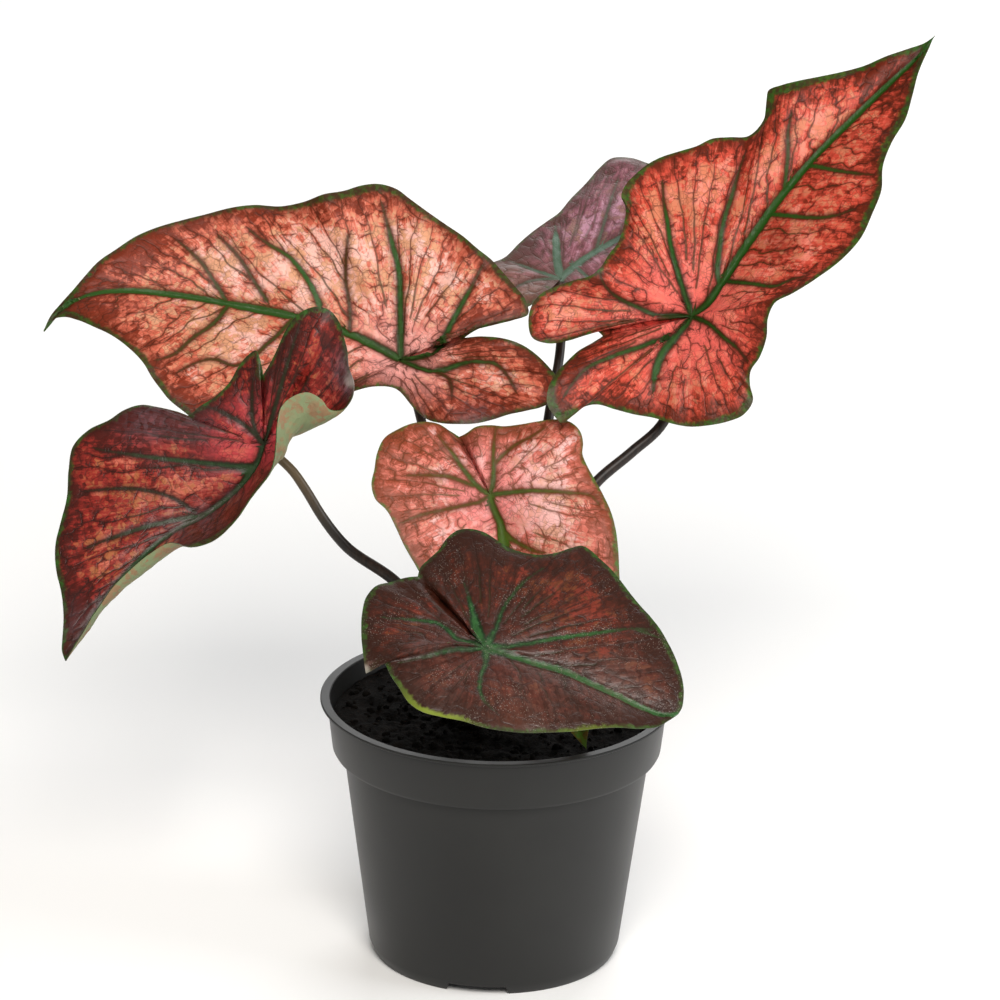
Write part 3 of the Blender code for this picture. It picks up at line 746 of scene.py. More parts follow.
@dataclass(frozen=True)
class MoistPeat:
    """Moist sphagnum peat: near black crumbs with brown fibres and a few pale specks."""

    black: str = "#060504"
    brown: str = "#120e0b"
    fibre: str = "#3c3026"

    def build(self) -> bpy.types.Material:
        """Mix the finish.

        Returns:
            The material.
        """
        peat = Finish("moist_peat")
        cloud = peat.add(Step.CLOUDS, {"Vector": peat.place, "Scale": 260.0, "Detail": 5.0})
        fine = peat.add(Step.CLOUDS, {"Vector": peat.place, "Scale": 1500.0, "Detail": 3.0})
        share = peat.add(Step.RANGE, {0: cloud, 1: 0.4, 2: 0.72})
        speck = peat.add(Step.RANGE, {0: fine, 1: 0.68, 2: 0.74})
        height = peat.total((cloud, 1.0), (fine, 1.0))
        return peat.done({
            "Base Color": peat.coat(self.black, (share, self.brown, 1.0),
                                    (speck, self.fibre, 1.0)),
            "Normal": peat.add(Step.RELIEF, {"Height": height, "Strength": 0.9,
                                             "Distance": 0.8 * MM}),
            "Roughness": 0.9, "Specular IOR Level": 0.08})


@dataclass(frozen=True)
class TuberSkin:
    """The tuber's skin: brown and papery, ringed with old leaf scars about 2 mm apart."""

    brown: str = "#5b4534"
    pale: str = "#8d755c"

    def build(self) -> bpy.types.Material:
        """Mix the finish.

        Returns:
            The material.
        """
        skin = Finish("papery_tuber_skin")
        rings = skin.add(Step.RINGS, {"Vector": skin.place, "Scale": 80.0, "Distortion": 2.5,
                                      "Detail": 3.0})
        return skin.done({
            "Base Color": skin.coat(self.brown, (rings, self.pale, 1.0)),
            "Normal": skin.add(Step.RELIEF, {"Height": rings, "Strength": 0.6,
                                             "Distance": 0.5 * MM}),
            "Roughness": 0.8})


@dataclass(frozen=True)
class FloorPaint:
    """Matt white paint on the studio floor, faintly uneven."""

    white: str = "#f3f3f2"
    bright: str = "#f6f6f5"

    def build(self) -> bpy.types.Material:
        """Mix the finish.

        Returns:
            The material.
        """
        paint = Finish("matt_white_paint")
        cloud = paint.add(Step.CLOUDS, {"Vector": paint.place, "Scale": 3.0})
        return paint.done({"Base Color": paint.coat(self.white, (cloud, self.bright, 1.0)),
                           "Roughness": 0.9})


# ---------------------------------------------------------------------------------------------
# Leaves
# ---------------------------------------------------------------------------------------------


@dataclass(frozen=True)
class Vein:
    """One vein as the eye sees it: half its width at its two ends, and its points."""

    wide: float
    narrow: float
    points: str
    from_joint: bool = False


@dataclass
class LeafShape:
    """One leaf. side_a and side_b run from the tip to level with the stem's joint.

    A row of the outline is (right, up, near), and may go on with how far the blade bows out half
    way in to the midrib, to the right, up and towards the eye. A patch is (right, up, radius,
    strength), where the strength of a broad edge is in millimetres.
    """

    name: LeafName
    joint: Row
    tip: Row
    bow: float
    stem_top_radius: float
    midrib_half: tuple[float, float]
    corners: list[Row]
    midrib: list[Row]
    side_a: list[Row]
    lobes: list[Row]
    side_b: list[Row]
    stem: list[Row]
    veins: list[Vein]
    patches: dict[Tint, list[Row]] = field(default_factory=dict)


@dataclass
class Blade:
    """A leaf blade: a sheet laid along ribs from the midrib to the edge, with sunken veins."""

    shape: LeafShape
    skin: LeafSkin
    seed: int
    columns: int = 8
    rings: int = 70
    crease_reach: float = 45.0
    crease_end: float = 200.0
    tip_reach: float = 16.0
    thickness: float = 0.5
    vein_thickness: float = 1.9
    vein_sink: float = 0.45
    twig_sink: float = 0.5
    cell_sink: float = 0.08
    quilting: float = 0.35
    swell: float = 0.5
    ripple: float = 0.16
    cell_stretch: float = 1.5
    tight_fold: float = 0.35
    twig_ends: int = 900
    side_spacing: tuple[float, float] = (6.0, 10.0)

    def ribs(self) -> np.ndarray:
        """Work out the sheet's columns.

        Returns:
            One row of nine numbers for each column, which are its start on the midrib, its end on
            the outline and its bow, in millimetres.
        """
        shape = self.shape
        spine = even_path(from_view([shape.joint, *shape.midrib]), 0.5)
        run = np.linspace(0.0, 1.0, len(spine))
        count = len(shape.side_a) + 1
        shares = [1.0 - (i + 1) / count for i in range(len(shape.side_a))]
        outline = [(shape.tip, 1.0), *zip(shape.side_a, shares)]
        outline += [(row, 0.0) for row in shape.lobes]
        outline += [*zip(shape.side_b, shares)][::-1] + [(shape.tip, 1.0)]
        last = len(outline) - 1
        share = np.array([part for _, part in outline])
        ends = from_view([row[:3] for row, _ in outline])
        apart = np.linalg.norm(ends[:, None, :] - spine, axis=2)
        # Next to the tip the ribs start nearly opposite their ends, so that they stay in order
        for step in range(1, min(6, count)):
            pair = [step, last - step]
            level = run[apart[pair].argmin(axis=1)].mean() - 0.03
            share[pair] += (1.0 - (step - 1) / 5) * max(0.0, level - share[step])
        reach = np.minimum(1.0, apart.min(axis=1) / 40.0)
        bows = np.array([row[3:] or (0.0, 0.0, shape.bow * part)
                         for (row, _), part in zip(outline, reach)])
        shifts = bows[:, :1] * [[1.0, 0.0, 0.0]] + bows[:, 1:2] * VIEW_UP + bows[:, 2:] * VIEW_NEAR
        corners = [i for i, (row, _) in enumerate(outline) if row[:2] in shape.corners]
        at = np.linspace(0, last, last * self.columns + 1)
        smooth = smooth_rows(np.concatenate([ends, shifts], axis=1), at, corners)
        starts = columns_at(np.interp(at, np.arange(last + 1), share), run, spine)
        return np.concatenate([starts, smooth], axis=1)

    @staticmethod
    def out_along(rib: np.ndarray, out: np.ndarray) -> np.ndarray:
        """Return the place on each rib that is a share of the way out, on its bow."""
        return rib[:, :3] + (rib[:, 3:6] - rib[:, :3]) * out + rib[:, 6:] * 4 * out * (1 - out)

    def sheet(self) -> Piece:
        """Lay a grid along the ribs and weld it along the midrib.

        Returns:
            The sheet. Each point keeps its rib's direction, and its course: how far it is round
            the outline and out from the midrib.
        """
        ribs = self.ribs()
        wide = len(ribs) - 1
        deselect()
        bpy.ops.mesh.primitive_grid_add(x_subdivisions=wide, y_subdivisions=self.rings, size=1.0)
        piece = name_piece(bpy.context.object, f"leaf_{self.shape.name.value}")
        flat = mesh_points(piece) * MM
        column = np.rint((flat[:, 0] + 0.5) * wide).astype(int)
        out = np.rint((flat[:, 1] + 0.5) * self.rings)[:, None] / self.rings
        rib = ribs[column]
        move_points(piece, self.out_along(rib, out))
        along = rib[:, 3:6] - rib[:, :3]
        length = np.linalg.norm(along, axis=1)[:, None] + 1e-9
        store(piece, "along", *(along / length).T)
        store(piece, "course", run_along(ribs[:, 3:6])[column], (out * length)[:, 0],
              np.zeros(len(out)))
        edit_mesh(piece)
        bpy.ops.mesh.remove_doubles(threshold=0.02 * MM)
        bpy.ops.mesh.dissolve_degenerate(threshold=0.01 * MM)
        object_mode()
        if (point_normals(piece) @ VIEW_NEAR).sum() < 0:
            edit_mesh(piece)
            bpy.ops.mesh.flip_normals()
            object_mode()
        return piece

    @staticmethod
    def lift(path: np.ndarray, seen: np.ndarray, tree: kdtree.KDTree) -> np.ndarray:
        """Put a line that is given as the eye sees it onto the blade's near side.

        Args:
            path: The line's points, as (right, up).
            seen: The blade's points as the eye sees them.
            tree: The same points, flat, ready to be searched.

        Returns:
            The line's places in the model, in millimetres.
        """
        lifted = []
        for right, up in path:
            found = tree.find_n((right, up, 0.0), 10)
            near = np.array([seen[i, 2] for _, i, _ in found])
            away = np.array([d for _, _, d in found])
            front = near > near.max() - 4.0
            weight = 1.0 / (away[front] + 0.05) ** 2
            lifted.append((right, up, float((near[front] * weight).sum() / weight.sum())))
        return from_view(lifted)

    def main_lines(self, piece: Piece) -> list[Line]:
        """Lay the main lines on the blade.

        Args:
            piece: The sheet.

        Returns:
            The midrib and the main veins, each as places and half widths.
        """
        shape = self.shape
        seen = to_view(mesh_points(piece))
        tree = search_tree(seen * (1.0, 1.0, 0.0))
        spine = even_path(from_view([shape.joint, *shape.midrib, shape.tip]), 0.6)
        lines = [(spine, np.linspace(*shape.midrib_half, len(spine)))]
        for vein in shape.veins:
            path = [shape.joint[:2]] * vein.from_joint + rows(vein.points)
            flat = np.array([(*point, 0.0) for point in path])
            line = self.lift(even_path(flat, 0.6)[:, :2], seen, tree)
            taper = np.clip(np.linspace(4.0, 0.0, len(line)), 0.3, 1.0)
            lines.append((line, np.linspace(vein.wide, vein.narrow, len(line)) * taper))
        return lines

    @staticmethod
    def measure(points: np.ndarray, normals: np.ndarray, lines: list[Line]) -> np.ndarray:
        """Measure how far each point is from the nearest line.

        Args:
            points: The blade's points, in millimetres.
            normals: The blade's direction at each point.
            lines: Lines as places and half widths.

        Returns:
            For each point the distance, below 0 to one side of the line, the same distance
            without its sign, and the line's half width there.
        """
        places = np.concatenate([line for line, _ in lines])
        half = np.concatenate([widths for _, widths in lines])
        tangent = np.concatenate([np.gradient(line, axis=0) for line, _ in lines])
        tangent /= np.linalg.norm(tangent, axis=1)[:, None] + 1e-9
        first = np.concatenate([[True] + [False] * (len(line) - 1) for line, _ in lines])
        last = np.concatenate([[False] * (len(line) - 1) + [True] for line, _ in lines])
        tree = search_tree(places)
        nearest = np.array([tree.find(point)[1] for point in points])
        apart = points - places[nearest]
        run = (apart * tangent[nearest]).sum(axis=1)
        inside = ~((first[nearest] & (run < 0)) | (last[nearest] & (run > 0)))
        apart -= tangent[nearest] * (np.clip(run, -0.6, 0.6) * inside)[:, None]
        away = np.linalg.norm(apart, axis=1)
        side = np.sign((np.cross(tangent[nearest], apart) * normals).sum(axis=1) + 1e-12)
        return np.stack([away * side, away, half[nearest]], axis=1)

    def cells(self, points: np.ndarray, along: np.ndarray) -> np.ndarray:
        """Part the blade into the cells of its net of veins, a little longer along the ribs.

        Args:
            points: The blade's points, in millimetres.
            along: The ribs' direction at each point.

        Returns:
            For each point the distance to the nearest cell wall, with and without the sign of
            its side, and a tone from 0 to 1 that each cell has of its own.
        """
        rng = np.random.default_rng(self.seed + 50)
        size = self.skin.cell_size
        seeds: list[int] = []
        taken: dict[Row, list[int]] = {}
        steps = [(dx, dy, dz) for dx in (-1, 0, 1) for dy in (-1, 0, 1) for dz in (-1, 0, 1)]
        for i in rng.permutation(len(points)):
            place = points[i]
            key = tuple(np.floor(place / size).astype(int))
            close = (j for dx, dy, dz in steps
                     for j in taken.get((key[0] + dx, key[1] + dy, key[2] + dz), ()))
            if all(((points[j] - place) ** 2).sum() > (0.8 * size) ** 2 for j in close):
                seeds.append(i)
                taken.setdefault(key, []).append(i)
        places, ways = points[seeds], along[seeds]
        tones, ranks = rng.random(len(seeds)), rng.random(len(seeds))
        tree = search_tree(places)
        close = np.array([[i for _, i, _ in tree.find_n(point, 8)] for point in points])
        apart = points[:, None, :] - places[close]
        run = (apart * ways[close]).sum(axis=2)
        squared = (apart**2).sum(axis=2) - run**2 * (1.0 - 1.0 / self.cell_stretch**2)
        order = np.argsort(squared, axis=1)
        every = np.arange(len(points))
        one, two = close[every, order[:, 0]], close[every, order[:, 1]]
        gap = np.linalg.norm(places[one] - places[two], axis=1) + 1e-6
        away = (squared[every, order[:, 1]] - squared[every, order[:, 0]]) / (2 * gap)
        return np.stack([away * np.sign(ranks[one] - ranks[two]), away, tones[one]], axis=1)

    def side_lines(self, main: list[Line]) -> list[Line]:
        """Draw the thin side veins, which leave a main vein and run out along the ribs.

        Args:
            main: The main lines.

        Returns:
            The side veins, each as places and half widths.
        """
        rng = np.random.default_rng(self.seed)
        ribs = self.ribs()
        count = np.arange(len(ribs))
        places = np.concatenate([line for line, _ in main])
        tree = search_tree(places)
        run = run_along(ribs[:, 3:6])
        lines = []
        start = rng.uniform(3.0, 7.0)
        while start < run[-1] - 4.0:
            first = float(np.interp(start, run, count))
            start += rng.uniform(*self.side_spacing)
            out = np.linspace(rng.uniform(0.82, 0.97), 0.0, 90)
            drift = rng.uniform(-0.4, 0.4) * self.columns
            waver = np.sin(out * rng.uniform(7, 14) + rng.uniform(0, 6)) * 0.12 * self.columns
            waver += np.sin(out * rng.uniform(24, 40) + rng.uniform(0, 6)) * 0.05 * self.columns
            column = np.clip(first + drift * out + waver, 0, len(ribs) - 1)
            line = self.out_along(columns_at(column, count, ribs), out[:, None])
            close = np.array([tree.find(place)[2] for place in line]) < 0.9
            close |= np.linalg.norm(line - places[0], axis=1) < rng.uniform(9.0, 24.0)
            stop = int(np.argmax(close)) + 1 if close.any() else len(line)
            length = run_along(line[:stop])[-1]
            if length > 7.0:
                line = even_path(line[:stop], 0.5)
                wide = min(0.3, 0.1 + 0.006 * length)
                lines.append((line, np.linspace(0.08, wide, len(line))))
        return lines

    def twig_paths(self, piece: Piece, points: np.ndarray, cell: np.ndarray,
                   start: np.ndarray) -> tuple[np.ndarray, np.ndarray]:
        """Find the easiest way from every point back to a bigger vein, along cell walls.

        Args:
            piece: The sheet.
            points: Its points, in millimetres.
            cell: What cells gave.
            start: Which points lie on a bigger vein.

        Returns:
            For each point how far it is by that way, and which point comes next on it.
        """
        pairs = edge_pairs(piece)
        step = points[pairs[:, 1]] - points[pairs[:, 0]]
        length = np.linalg.norm(step, axis=1)
        along = stored(piece, "along")[pairs[:, 0]]
        turn = 1.0 - np.abs((step * along).sum(axis=1)) / (length + 1e-9)
        rough = noise_at(points, 3.0, 40.0)[pairs[:, 0]]
        wall = np.minimum(1.0, cell[:, 1][pairs].mean(axis=1) / 1.1)
        cost = length * (0.25 + wall) * (1.0 + 0.55 * turn) * (1.0 + 0.5 * rough)
        near: list[list[tuple[int, float]]] = [[] for _ in points]
        for (one, two), price in zip(pairs.tolist(), cost.tolist()):
            near[one].append((two, price))
            near[two].append((one, price))
        reach = np.where(start, 0.0, np.inf)
        parent = np.full(len(points), -1)
        queue = [(0.0, int(i)) for i in np.flatnonzero(start)]
        heapq.heapify(queue)
        while queue:
            far, here = heapq.heappop(queue)
            if far > reach[here]:
                continue
            for there, price in near[here]:
                if far + price < reach[there]:
                    reach[there] = far + price
                    parent[there] = here
                    heapq.heappush(queue, (far + price, there))
        return reach, parent

    def grow_twigs(self, piece: Piece, points: np.ndarray, normals: np.ndarray, vein: np.ndarray,
                   cell: np.ndarray, margin: np.ndarray, side: list[Line]) -> np.ndarray:
        """Grow twigs from spots all over the blade, back along cell walls to a bigger vein.

        Args:
            piece: The sheet.
            points: Its points, in millimetres.
            normals: Its direction at each point.
            vein: What measure gave for the main veins.
            cell: What cells gave.
            margin: Each point's distance from the edge.
            side: The thin side veins.

        Returns:
            The same three numbers for each point as measure gives, for side veins and twigs.
        """
        rng = np.random.default_rng(self.seed + 9)
        beside = self.measure(points, normals, side)[:, 1]
        start = (vein[:, 1] < vein[:, 2] + 0.4) | (beside < 0.45)
        reach, parent = self.twig_paths(piece, points, cell, start)
        spots = np.flatnonzero((cell[:, 1] < 0.45) & (margin > 1.2) & np.isfinite(reach))
        chosen = rng.choice(spots, min(len(spots), self.twig_ends), replace=False)
        flow = np.zeros(len(points))
        flow[chosen] = 1.0
        for i in np.argsort(-reach):
            if flow[i] > 0 and parent[i] >= 0:
                flow[parent[i]] += flow[i]
        used = np.flatnonzero((flow > 0) & (parent >= 0))
        ahead = parent[used]
        places = points.copy()
        for _ in range(4):
            behind = places.copy()
            behind[ahead] = places[used]
            places[used] = 0.5 * places[used] + 0.25 * places[ahead] + 0.25 * behind[used]
        half = np.minimum(0.21, 0.035 + 0.042 * np.sqrt(flow))
        lines = [(np.stack([a, (a + b) / 2, b]), np.full(3, h))
                 for a, b, h in zip(places[used], places[ahead], half[used])]
        return self.measure(points, normals, lines + side)

    @staticmethod
    def room_behind(piece: Piece) -> np.ndarray:
        """Measure the room behind a folded sheet.

        Args:
            piece: The sheet.

        Returns:
            How thick it can be at each point and stay clear of itself.
        """
        points, normals = mesh_points(piece), point_normals(piece)
        faces = [face.vertices[:] for face in piece.data.polygons]
        tree = BVHTree.FromPolygons([tuple(point) for point in points], faces)
        room = np.full(len(points), 9.0)
        for i, (point, normal) in enumerate(zip(points, normals)):
            hit = tree.ray_cast(Vector(point - normal * 0.03), Vector(-normal), 5.0)[3]
            if hit is not None:
                room[i] = hit + 0.03
        one, two = edge_pairs(piece).T
        for _ in range(3):
            lower = room.copy()
            np.minimum.at(lower, one, room[two])
            np.minimum.at(lower, two, room[one])
            room = 0.5 * (lower + room)
        return np.maximum(0.05, 0.4 * room)

    def patches(self, points: np.ndarray) -> dict[Tint, np.ndarray]:
        """Add up the soft patches.

        Args:
            points: The blade's points, in millimetres.

        Returns:
            How strongly each kind works at each point.
        """
        seen = to_view(points)
        strength = {tint: np.zeros(len(points)) for tint in Tint}
        for tint, patches in self.shape.patches.items():
            for right, up, radius, strong in patches:
                away = np.hypot(seen[:, 0] - right, seen[:, 1] - up) / radius
                strength[tint] += strong * np.exp(-away**2)
        return strength

    def relief(self, points: np.ndarray, vein: np.ndarray, twig: np.ndarray, cell: np.ndarray,
               edge: np.ndarray) -> np.ndarray:
        """Sink the lines into the blade, with soft swellings between them.

        Args:
            points: The blade's points, in millimetres.
            vein: What measure gave for the main veins.
            twig: What grow_twigs gave.
            cell: What cells gave.
            edge: How free each point is to move, from 0 at the joint to 1.

        Returns:
            How far each point rises, in millimetres.
        """
        beside = np.maximum(0.0, vein[:, 1] - vein[:, 2])
        rise = -self.vein_sink * np.minimum(1.0, vein[:, 2] / 0.9) * np.exp(-(beside / 0.9) ** 2)
        rise += self.quilting * (1.0 - np.exp(-(beside / 5.0) ** 2))
        rise -= self.twig_sink * twig[:, 2] * np.exp(-(twig[:, 1] / 0.7) ** 2)
        rise -= self.cell_sink * np.exp(-(cell[:, 1] / 0.7) ** 2)
        rise += self.swell * noise_at(points, 16.0, self.seed)
        return (rise + self.ripple * noise_at(points, 5.0, -self.seed)) * edge

    def thicken(self, piece: Piece, full: np.ndarray, behind: np.ndarray) -> None:
        """Give the sheet its thickness and its two skins.

        Args:
            piece: The sheet.
            full: Its thickness at each point.
            behind: What room_behind gave.
        """
        group = piece.vertex_groups.new(name="thickness")
        for i, share in enumerate(full / self.vein_thickness):
            group.add([i], float(min(1.0, share)), "REPLACE")
        upper = self.skin.build()
        for material in (upper, self.skin.build(underside=True), upper):
            piece.data.materials.append(material)
        # A tight crease keeps one skin on both its faces, and so does a fold that turns away from
        # the eye by the joint or the tip
        eye = VIEW_CENTRE + VIEW_NEAR * VIEW_DISTANCE
        joint, tip = from_view([self.shape.joint, self.shape.tip])
        for face in piece.data.polygons:
            centre = np.array(face.center) / MM
            by_joint = (np.linalg.norm(centre - joint) < self.crease_reach
                        and centre[0] < self.crease_end)
            by_tip = np.linalg.norm(centre - tip) < self.tip_reach
            away = (eye - centre) @ np.array(face.normal) < 0
            if (behind[list(face.vertices)].min() < self.tight_fold
                    or (away and (by_joint or by_tip))):
                face.material_index = 2
        body = piece.modifiers.new("Thickness", "SOLIDIFY")
        body.thickness = self.vein_thickness * MM
        body.offset = -1.0
        body.vertex_group = "thickness"
        body.material_offset = 1
        body.material_offset_rim = 0
        apply_modifiers(piece)
        for face in piece.data.polygons:
            face.material_index %= 2
        piece.data.materials.pop(index=2)
        piece.vertex_groups.clear()

    def build(self) -> Piece:
        """Make the blade with its veins, its relief, its thickness and its two skins.

        Returns:
            The finished piece.
        """
        piece = self.sheet()
        points, normals = mesh_points(piece), point_normals(piece)
        main = self.main_lines(piece)
        vein = self.measure(points, normals, main)
        cell = self.cells(points, stored(piece, "along"))
        rim = even_path(self.ribs()[:, 3:6], 0.8)
        margin = self.measure(points, normals, [(rim, np.zeros(len(rim)))])[:, 1]
        twig = self.grow_twigs(piece, points, normals, vein, cell, margin, self.side_lines(main))
        root = np.linalg.norm(points - from_view([self.shape.joint])[0], axis=1)
        patch = self.patches(points)
        course = stored(piece, "course")
        for name in ("along", "course"):
            piece.data.attributes.remove(piece.data.attributes[name])
        for name, kept in (("vein", vein), ("twig", twig), ("cell", cell)):
            store(piece, name, *kept.T)
        store(piece, "place", margin - patch[Tint.BROAD_EDGE], root,
              patch[Tint.PALE] - patch[Tint.DARK])
        store(piece, "tint", patch[Tint.GREEN], patch[Tint.YELLOW], patch[Tint.BROWN])
        # Third number: the painted sheen patches, which the skin turns into painted sheen and
        # highlight
        store(piece, "course", course[:, 0], course[:, 1], patch[Tint.PAINTED_SHEEN])

        edge = np.clip(margin / 3.0, 0.25, 1.0) * np.clip((root - 1.5) / 8.0, 0.0, 1.0)
        rise = self.relief(points, vein, twig, cell, edge)
        move_points(piece, points + normals * rise[:, None])
        room = np.clip((margin - 2.5) / 4.0, 0.0, 1.0) * np.clip((root - 7.0) / 8.0, 0.0, 1.0)
        full = room * (self.vein_thickness - self.thickness) * np.minimum(1.0, vein[:, 2] / 1.3)
        beside = np.maximum(0.0, vein[:, 1] - vein[:, 2])
        full = full * np.exp(-(beside / 0.7) ** 2) + self.thickness
        full *= np.clip(0.6 + margin / 4.0, 0.6, 1.0)
        behind = self.room_behind(piece)
        self.thicken(piece, np.minimum(full, behind), behind)
        shade(piece, Shading.SMOOTH_WITH_EDGES)
        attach(piece, BODY)
        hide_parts(f"blade_{self.shape.name.value}")
        return piece


@dataclass
class Petiole:
    """A leaf stalk: a tapered tube out of the soil, thicker again where it meets the blade."""

    shape: LeafShape
    skin: bpy.types.Material
    young: float = 0.15
    young_reach: float = 24.0
    foot_radius: float = 2.3
    joint_swell: float = 0.18

    def build(self) -> Piece:
        """Make the stalk from below the soil to the back of the blade.

        Returns:
            The finished piece.
        """
        x, y, top = self.shape.stem[0]
        joint = from_view([self.shape.joint])[0]
        last = np.array(self.shape.stem[-1])
        end = joint + (last - joint) / np.linalg.norm(last - joint) * 0.9
        bends = even_path(np.array([*self.shape.stem, end]), 2.0)
        path = np.concatenate([[(x, y, top - 9.0), (x, y, top - 3.0)], bends])
        run = run_along(path)
        name = f"stalk_{self.shape.name.value}"
        curve = bpy.data.curves.new(name, "CURVE")
        curve.dimensions = "3D"
        curve.bevel_depth = self.foot_radius * MM
        curve.bevel_resolution = 8
        curve.use_fill_caps = True
        spline = curve.splines.new("POLY")
        spline.points.add(len(path) - 1)
        slimmer = 1.0 - self.shape.stem_top_radius / self.foot_radius
        for point, place, length in zip(spline.points, path, run):
            point.co = (*(place * MM), 1.0)
            swell = self.joint_swell * math.exp(-((run[-1] - length) / 4.0) ** 2)
            point.radius = 1.0 - slimmer * length / run[-1] + swell
        piece = bpy.data.objects.new(name, curve)
        bpy.context.scene.collection.objects.link(piece)
        select_only(piece)
        bpy.ops.object.convert(target="MESH")
        piece = name_piece(bpy.context.object, name)
        edit_mesh(piece)
        bpy.ops.mesh.remove_doubles(threshold=0.005 * MM)
        bpy.ops.mesh.normals_make_consistent(inside=False)
        object_mode()
        away = np.linalg.norm(mesh_points(piece) - end, axis=1)
        store(piece, "young", *[self.young * np.exp(-(away / self.young_reach) ** 2)] * 3)
        piece.data.materials.append(self.skin)
        shade(piece, Shading.SMOOTH_WITH_EDGES)
        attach(piece, BODY)
        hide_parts(f"stem_{self.shape.name.value}")
        return piece


def upper_left_shape() -> LeafShape:
    """Return the big pale leaf that reaches left, its lower half folded towards the eye."""
    return LeafShape(
        LeafName.UPPER_LEFT, joint=(-34, 46.5, -30), tip=(-154, 54.5, -22), bow=3,
        stem_top_radius=1.5, midrib_half=(1.5, 0.55), corners=[(-13, 54.2)],
        midrib=rows("""
            -50 54.5 -31, -70 60.5 -33, -92 64.5 -34, -112 67.5 -33, -130 68.5 -30, -141 66.5 -27,
            -147 63 -25"""),
        side_a=rows("""
            -151.5 60 -23, -148.5 63.7 -26, -144.5 68.2 -29, -140.5 73 -31, -136 78 -33,
            -130 82.3 -35, -123.5 86.7 -37, -116 90 -39, -108 92.4 -40, -100 94.5 -40,
            -92 96.7 -39, -84 97.8 -42, -75 97.5 -44"""),
        lobes=rows("""
            -67 99.2 -42, -60.5 101.8 -39, -54 103 -40, -47.5 105 -41, -42.5 105.5 -42,
            -36.5 104 -41, -31.5 100.5 -39, -25.6 96.3 -37, -20 92.5 -38, -13.5 88.2 -37,
            -8.7 84.2 -34, -4 80.6 -34, 0 76.3 -32, 4 71.8 -30, 7.8 66.8 -28,
            8.6 62.5 -27 0 2.2 2.5, 4.3 60.8 -26 0 1.8 2, -0.4 59.6 -25 0 1.2 1.5,
            -6 58.2 -25 0 0.5 0, -13 54.2 -28 0 0 -3, -6 54.8 -22 0 0 1, 0 54.3 -20, 6 52.5 -19,
            11.8 48.7 -20, 15.5 45.1 -21, 18.5 41 -23, 18.5 35.5 -24, 14.7 32 -22, 8.6 30.2 -20,
            2.6 28.8 -18, -2.8 27 -16, -8 25.7 -15, -14 25.3 -15, -20 25.5 -17, -25 26.8 -19,
            -29 30.2 -19, -35.5 36.9 -20, -42 37.6 -17, -49 36 -14, -56 32.5 -11, -65 27.5 -8,
            -75 24 -6, -86 22.3 -5"""),
        side_b=rows("""
            -151 58.6 -22, -147.5 59.5 -22, -142.5 58.5 -20, -137 56.3 -18, -131 53.5 -15,
            -125 49.2 -12.5, -120 44 -10, -117.3 39.5 -9, -114.5 35.8 -7.5, -111.5 32.2 -6,
            -107.5 29 -5, -103 25.8 -4, -97 23.2 -4"""),
        stem=rows("-4.5 6 91, -9 14 112, -16 25 137, -23 35 160, -27.5 42.5 177, -31 46.5 188"),
        veins=[
            Vein(0.85, 0.35, "-61.3 64.3, -65.8 73.6, -71.2 80.2, -79.7 85.5, -85.2 89.4"),
            Vein(0.9, 0.85, "-58 57.5, -61.3 64.3"),
            Vein(0.5, 0.25, "-93 65.7, -96.7 71.7, -101.4 78.4, -109.5 85.7"),
            Vein(0.45, 0.22, "-79.3 65.9, -83.3 71.9, -88 79.3, -95.5 87.2"),
            Vein(1.15, 0.5, "-34.5 63.6, -35.3 77.4, -38.1 88.1, -41 98.8", True),
            Vein(0.4, 0.22, "-51.3 55.5, -51.3 63.2, -52.8 72.6, -52.3 88"),
            Vein(1.25, 0.45, "-21.6 50.8, -17.7 58.2, -15.3 62.6, -9.1 74.4, -7 78.5", True),
            Vein(0.95, 0.35, "-23.4 43.3, -8 46, -2 45.4, 0.7 43.1, 4.7 37", True),
            Vein(0.5, 0.25, "-23.5 43.4, -17.4 40.1, -16.7 34.8"),
            Vein(0.55, 0.25, "-92 64.5, -97 58, -104 53, -111 47, -115.5 45.5"),
            Vein(0.5, 0.22, "-70 60.5, -78 52, -90 44, -96 46, -108 42"),
        ],
        patches={
            Tint.PALE: rows("""
                -70 84 15 1, -95 80 10 0.7, -32 88 12 1, -52 76 9 0.9, -16 72 10 0.8, -66 62 7 0.5,
                -85 52 12 0.8, -100 55 9 0.6, 2 40 7 0.3"""),
            Tint.DARK: rows("""
                -140 67 13 1.1, -122 82 10 0.75, -128 70 10 0.35, -80 92 10 0.8, -105 30 10 0.7,
                -8 62 6 0.5, 12 42 8 0.25, -8 31 12 0.5"""),
            # Painted purple-grey shade and sheen on the lower part of the right lobe
            Tint.PAINTED_SHEEN: rows("-10 30 8 0.6"),
            Tint.BROAD_EDGE: rows("""
                -52 101 20 2, -20 92 12 0.74, -150 60 10 2.2, -92 25 12 1.9, -120 42 10 0.93,
                0 76 9 0.93"""),
        })


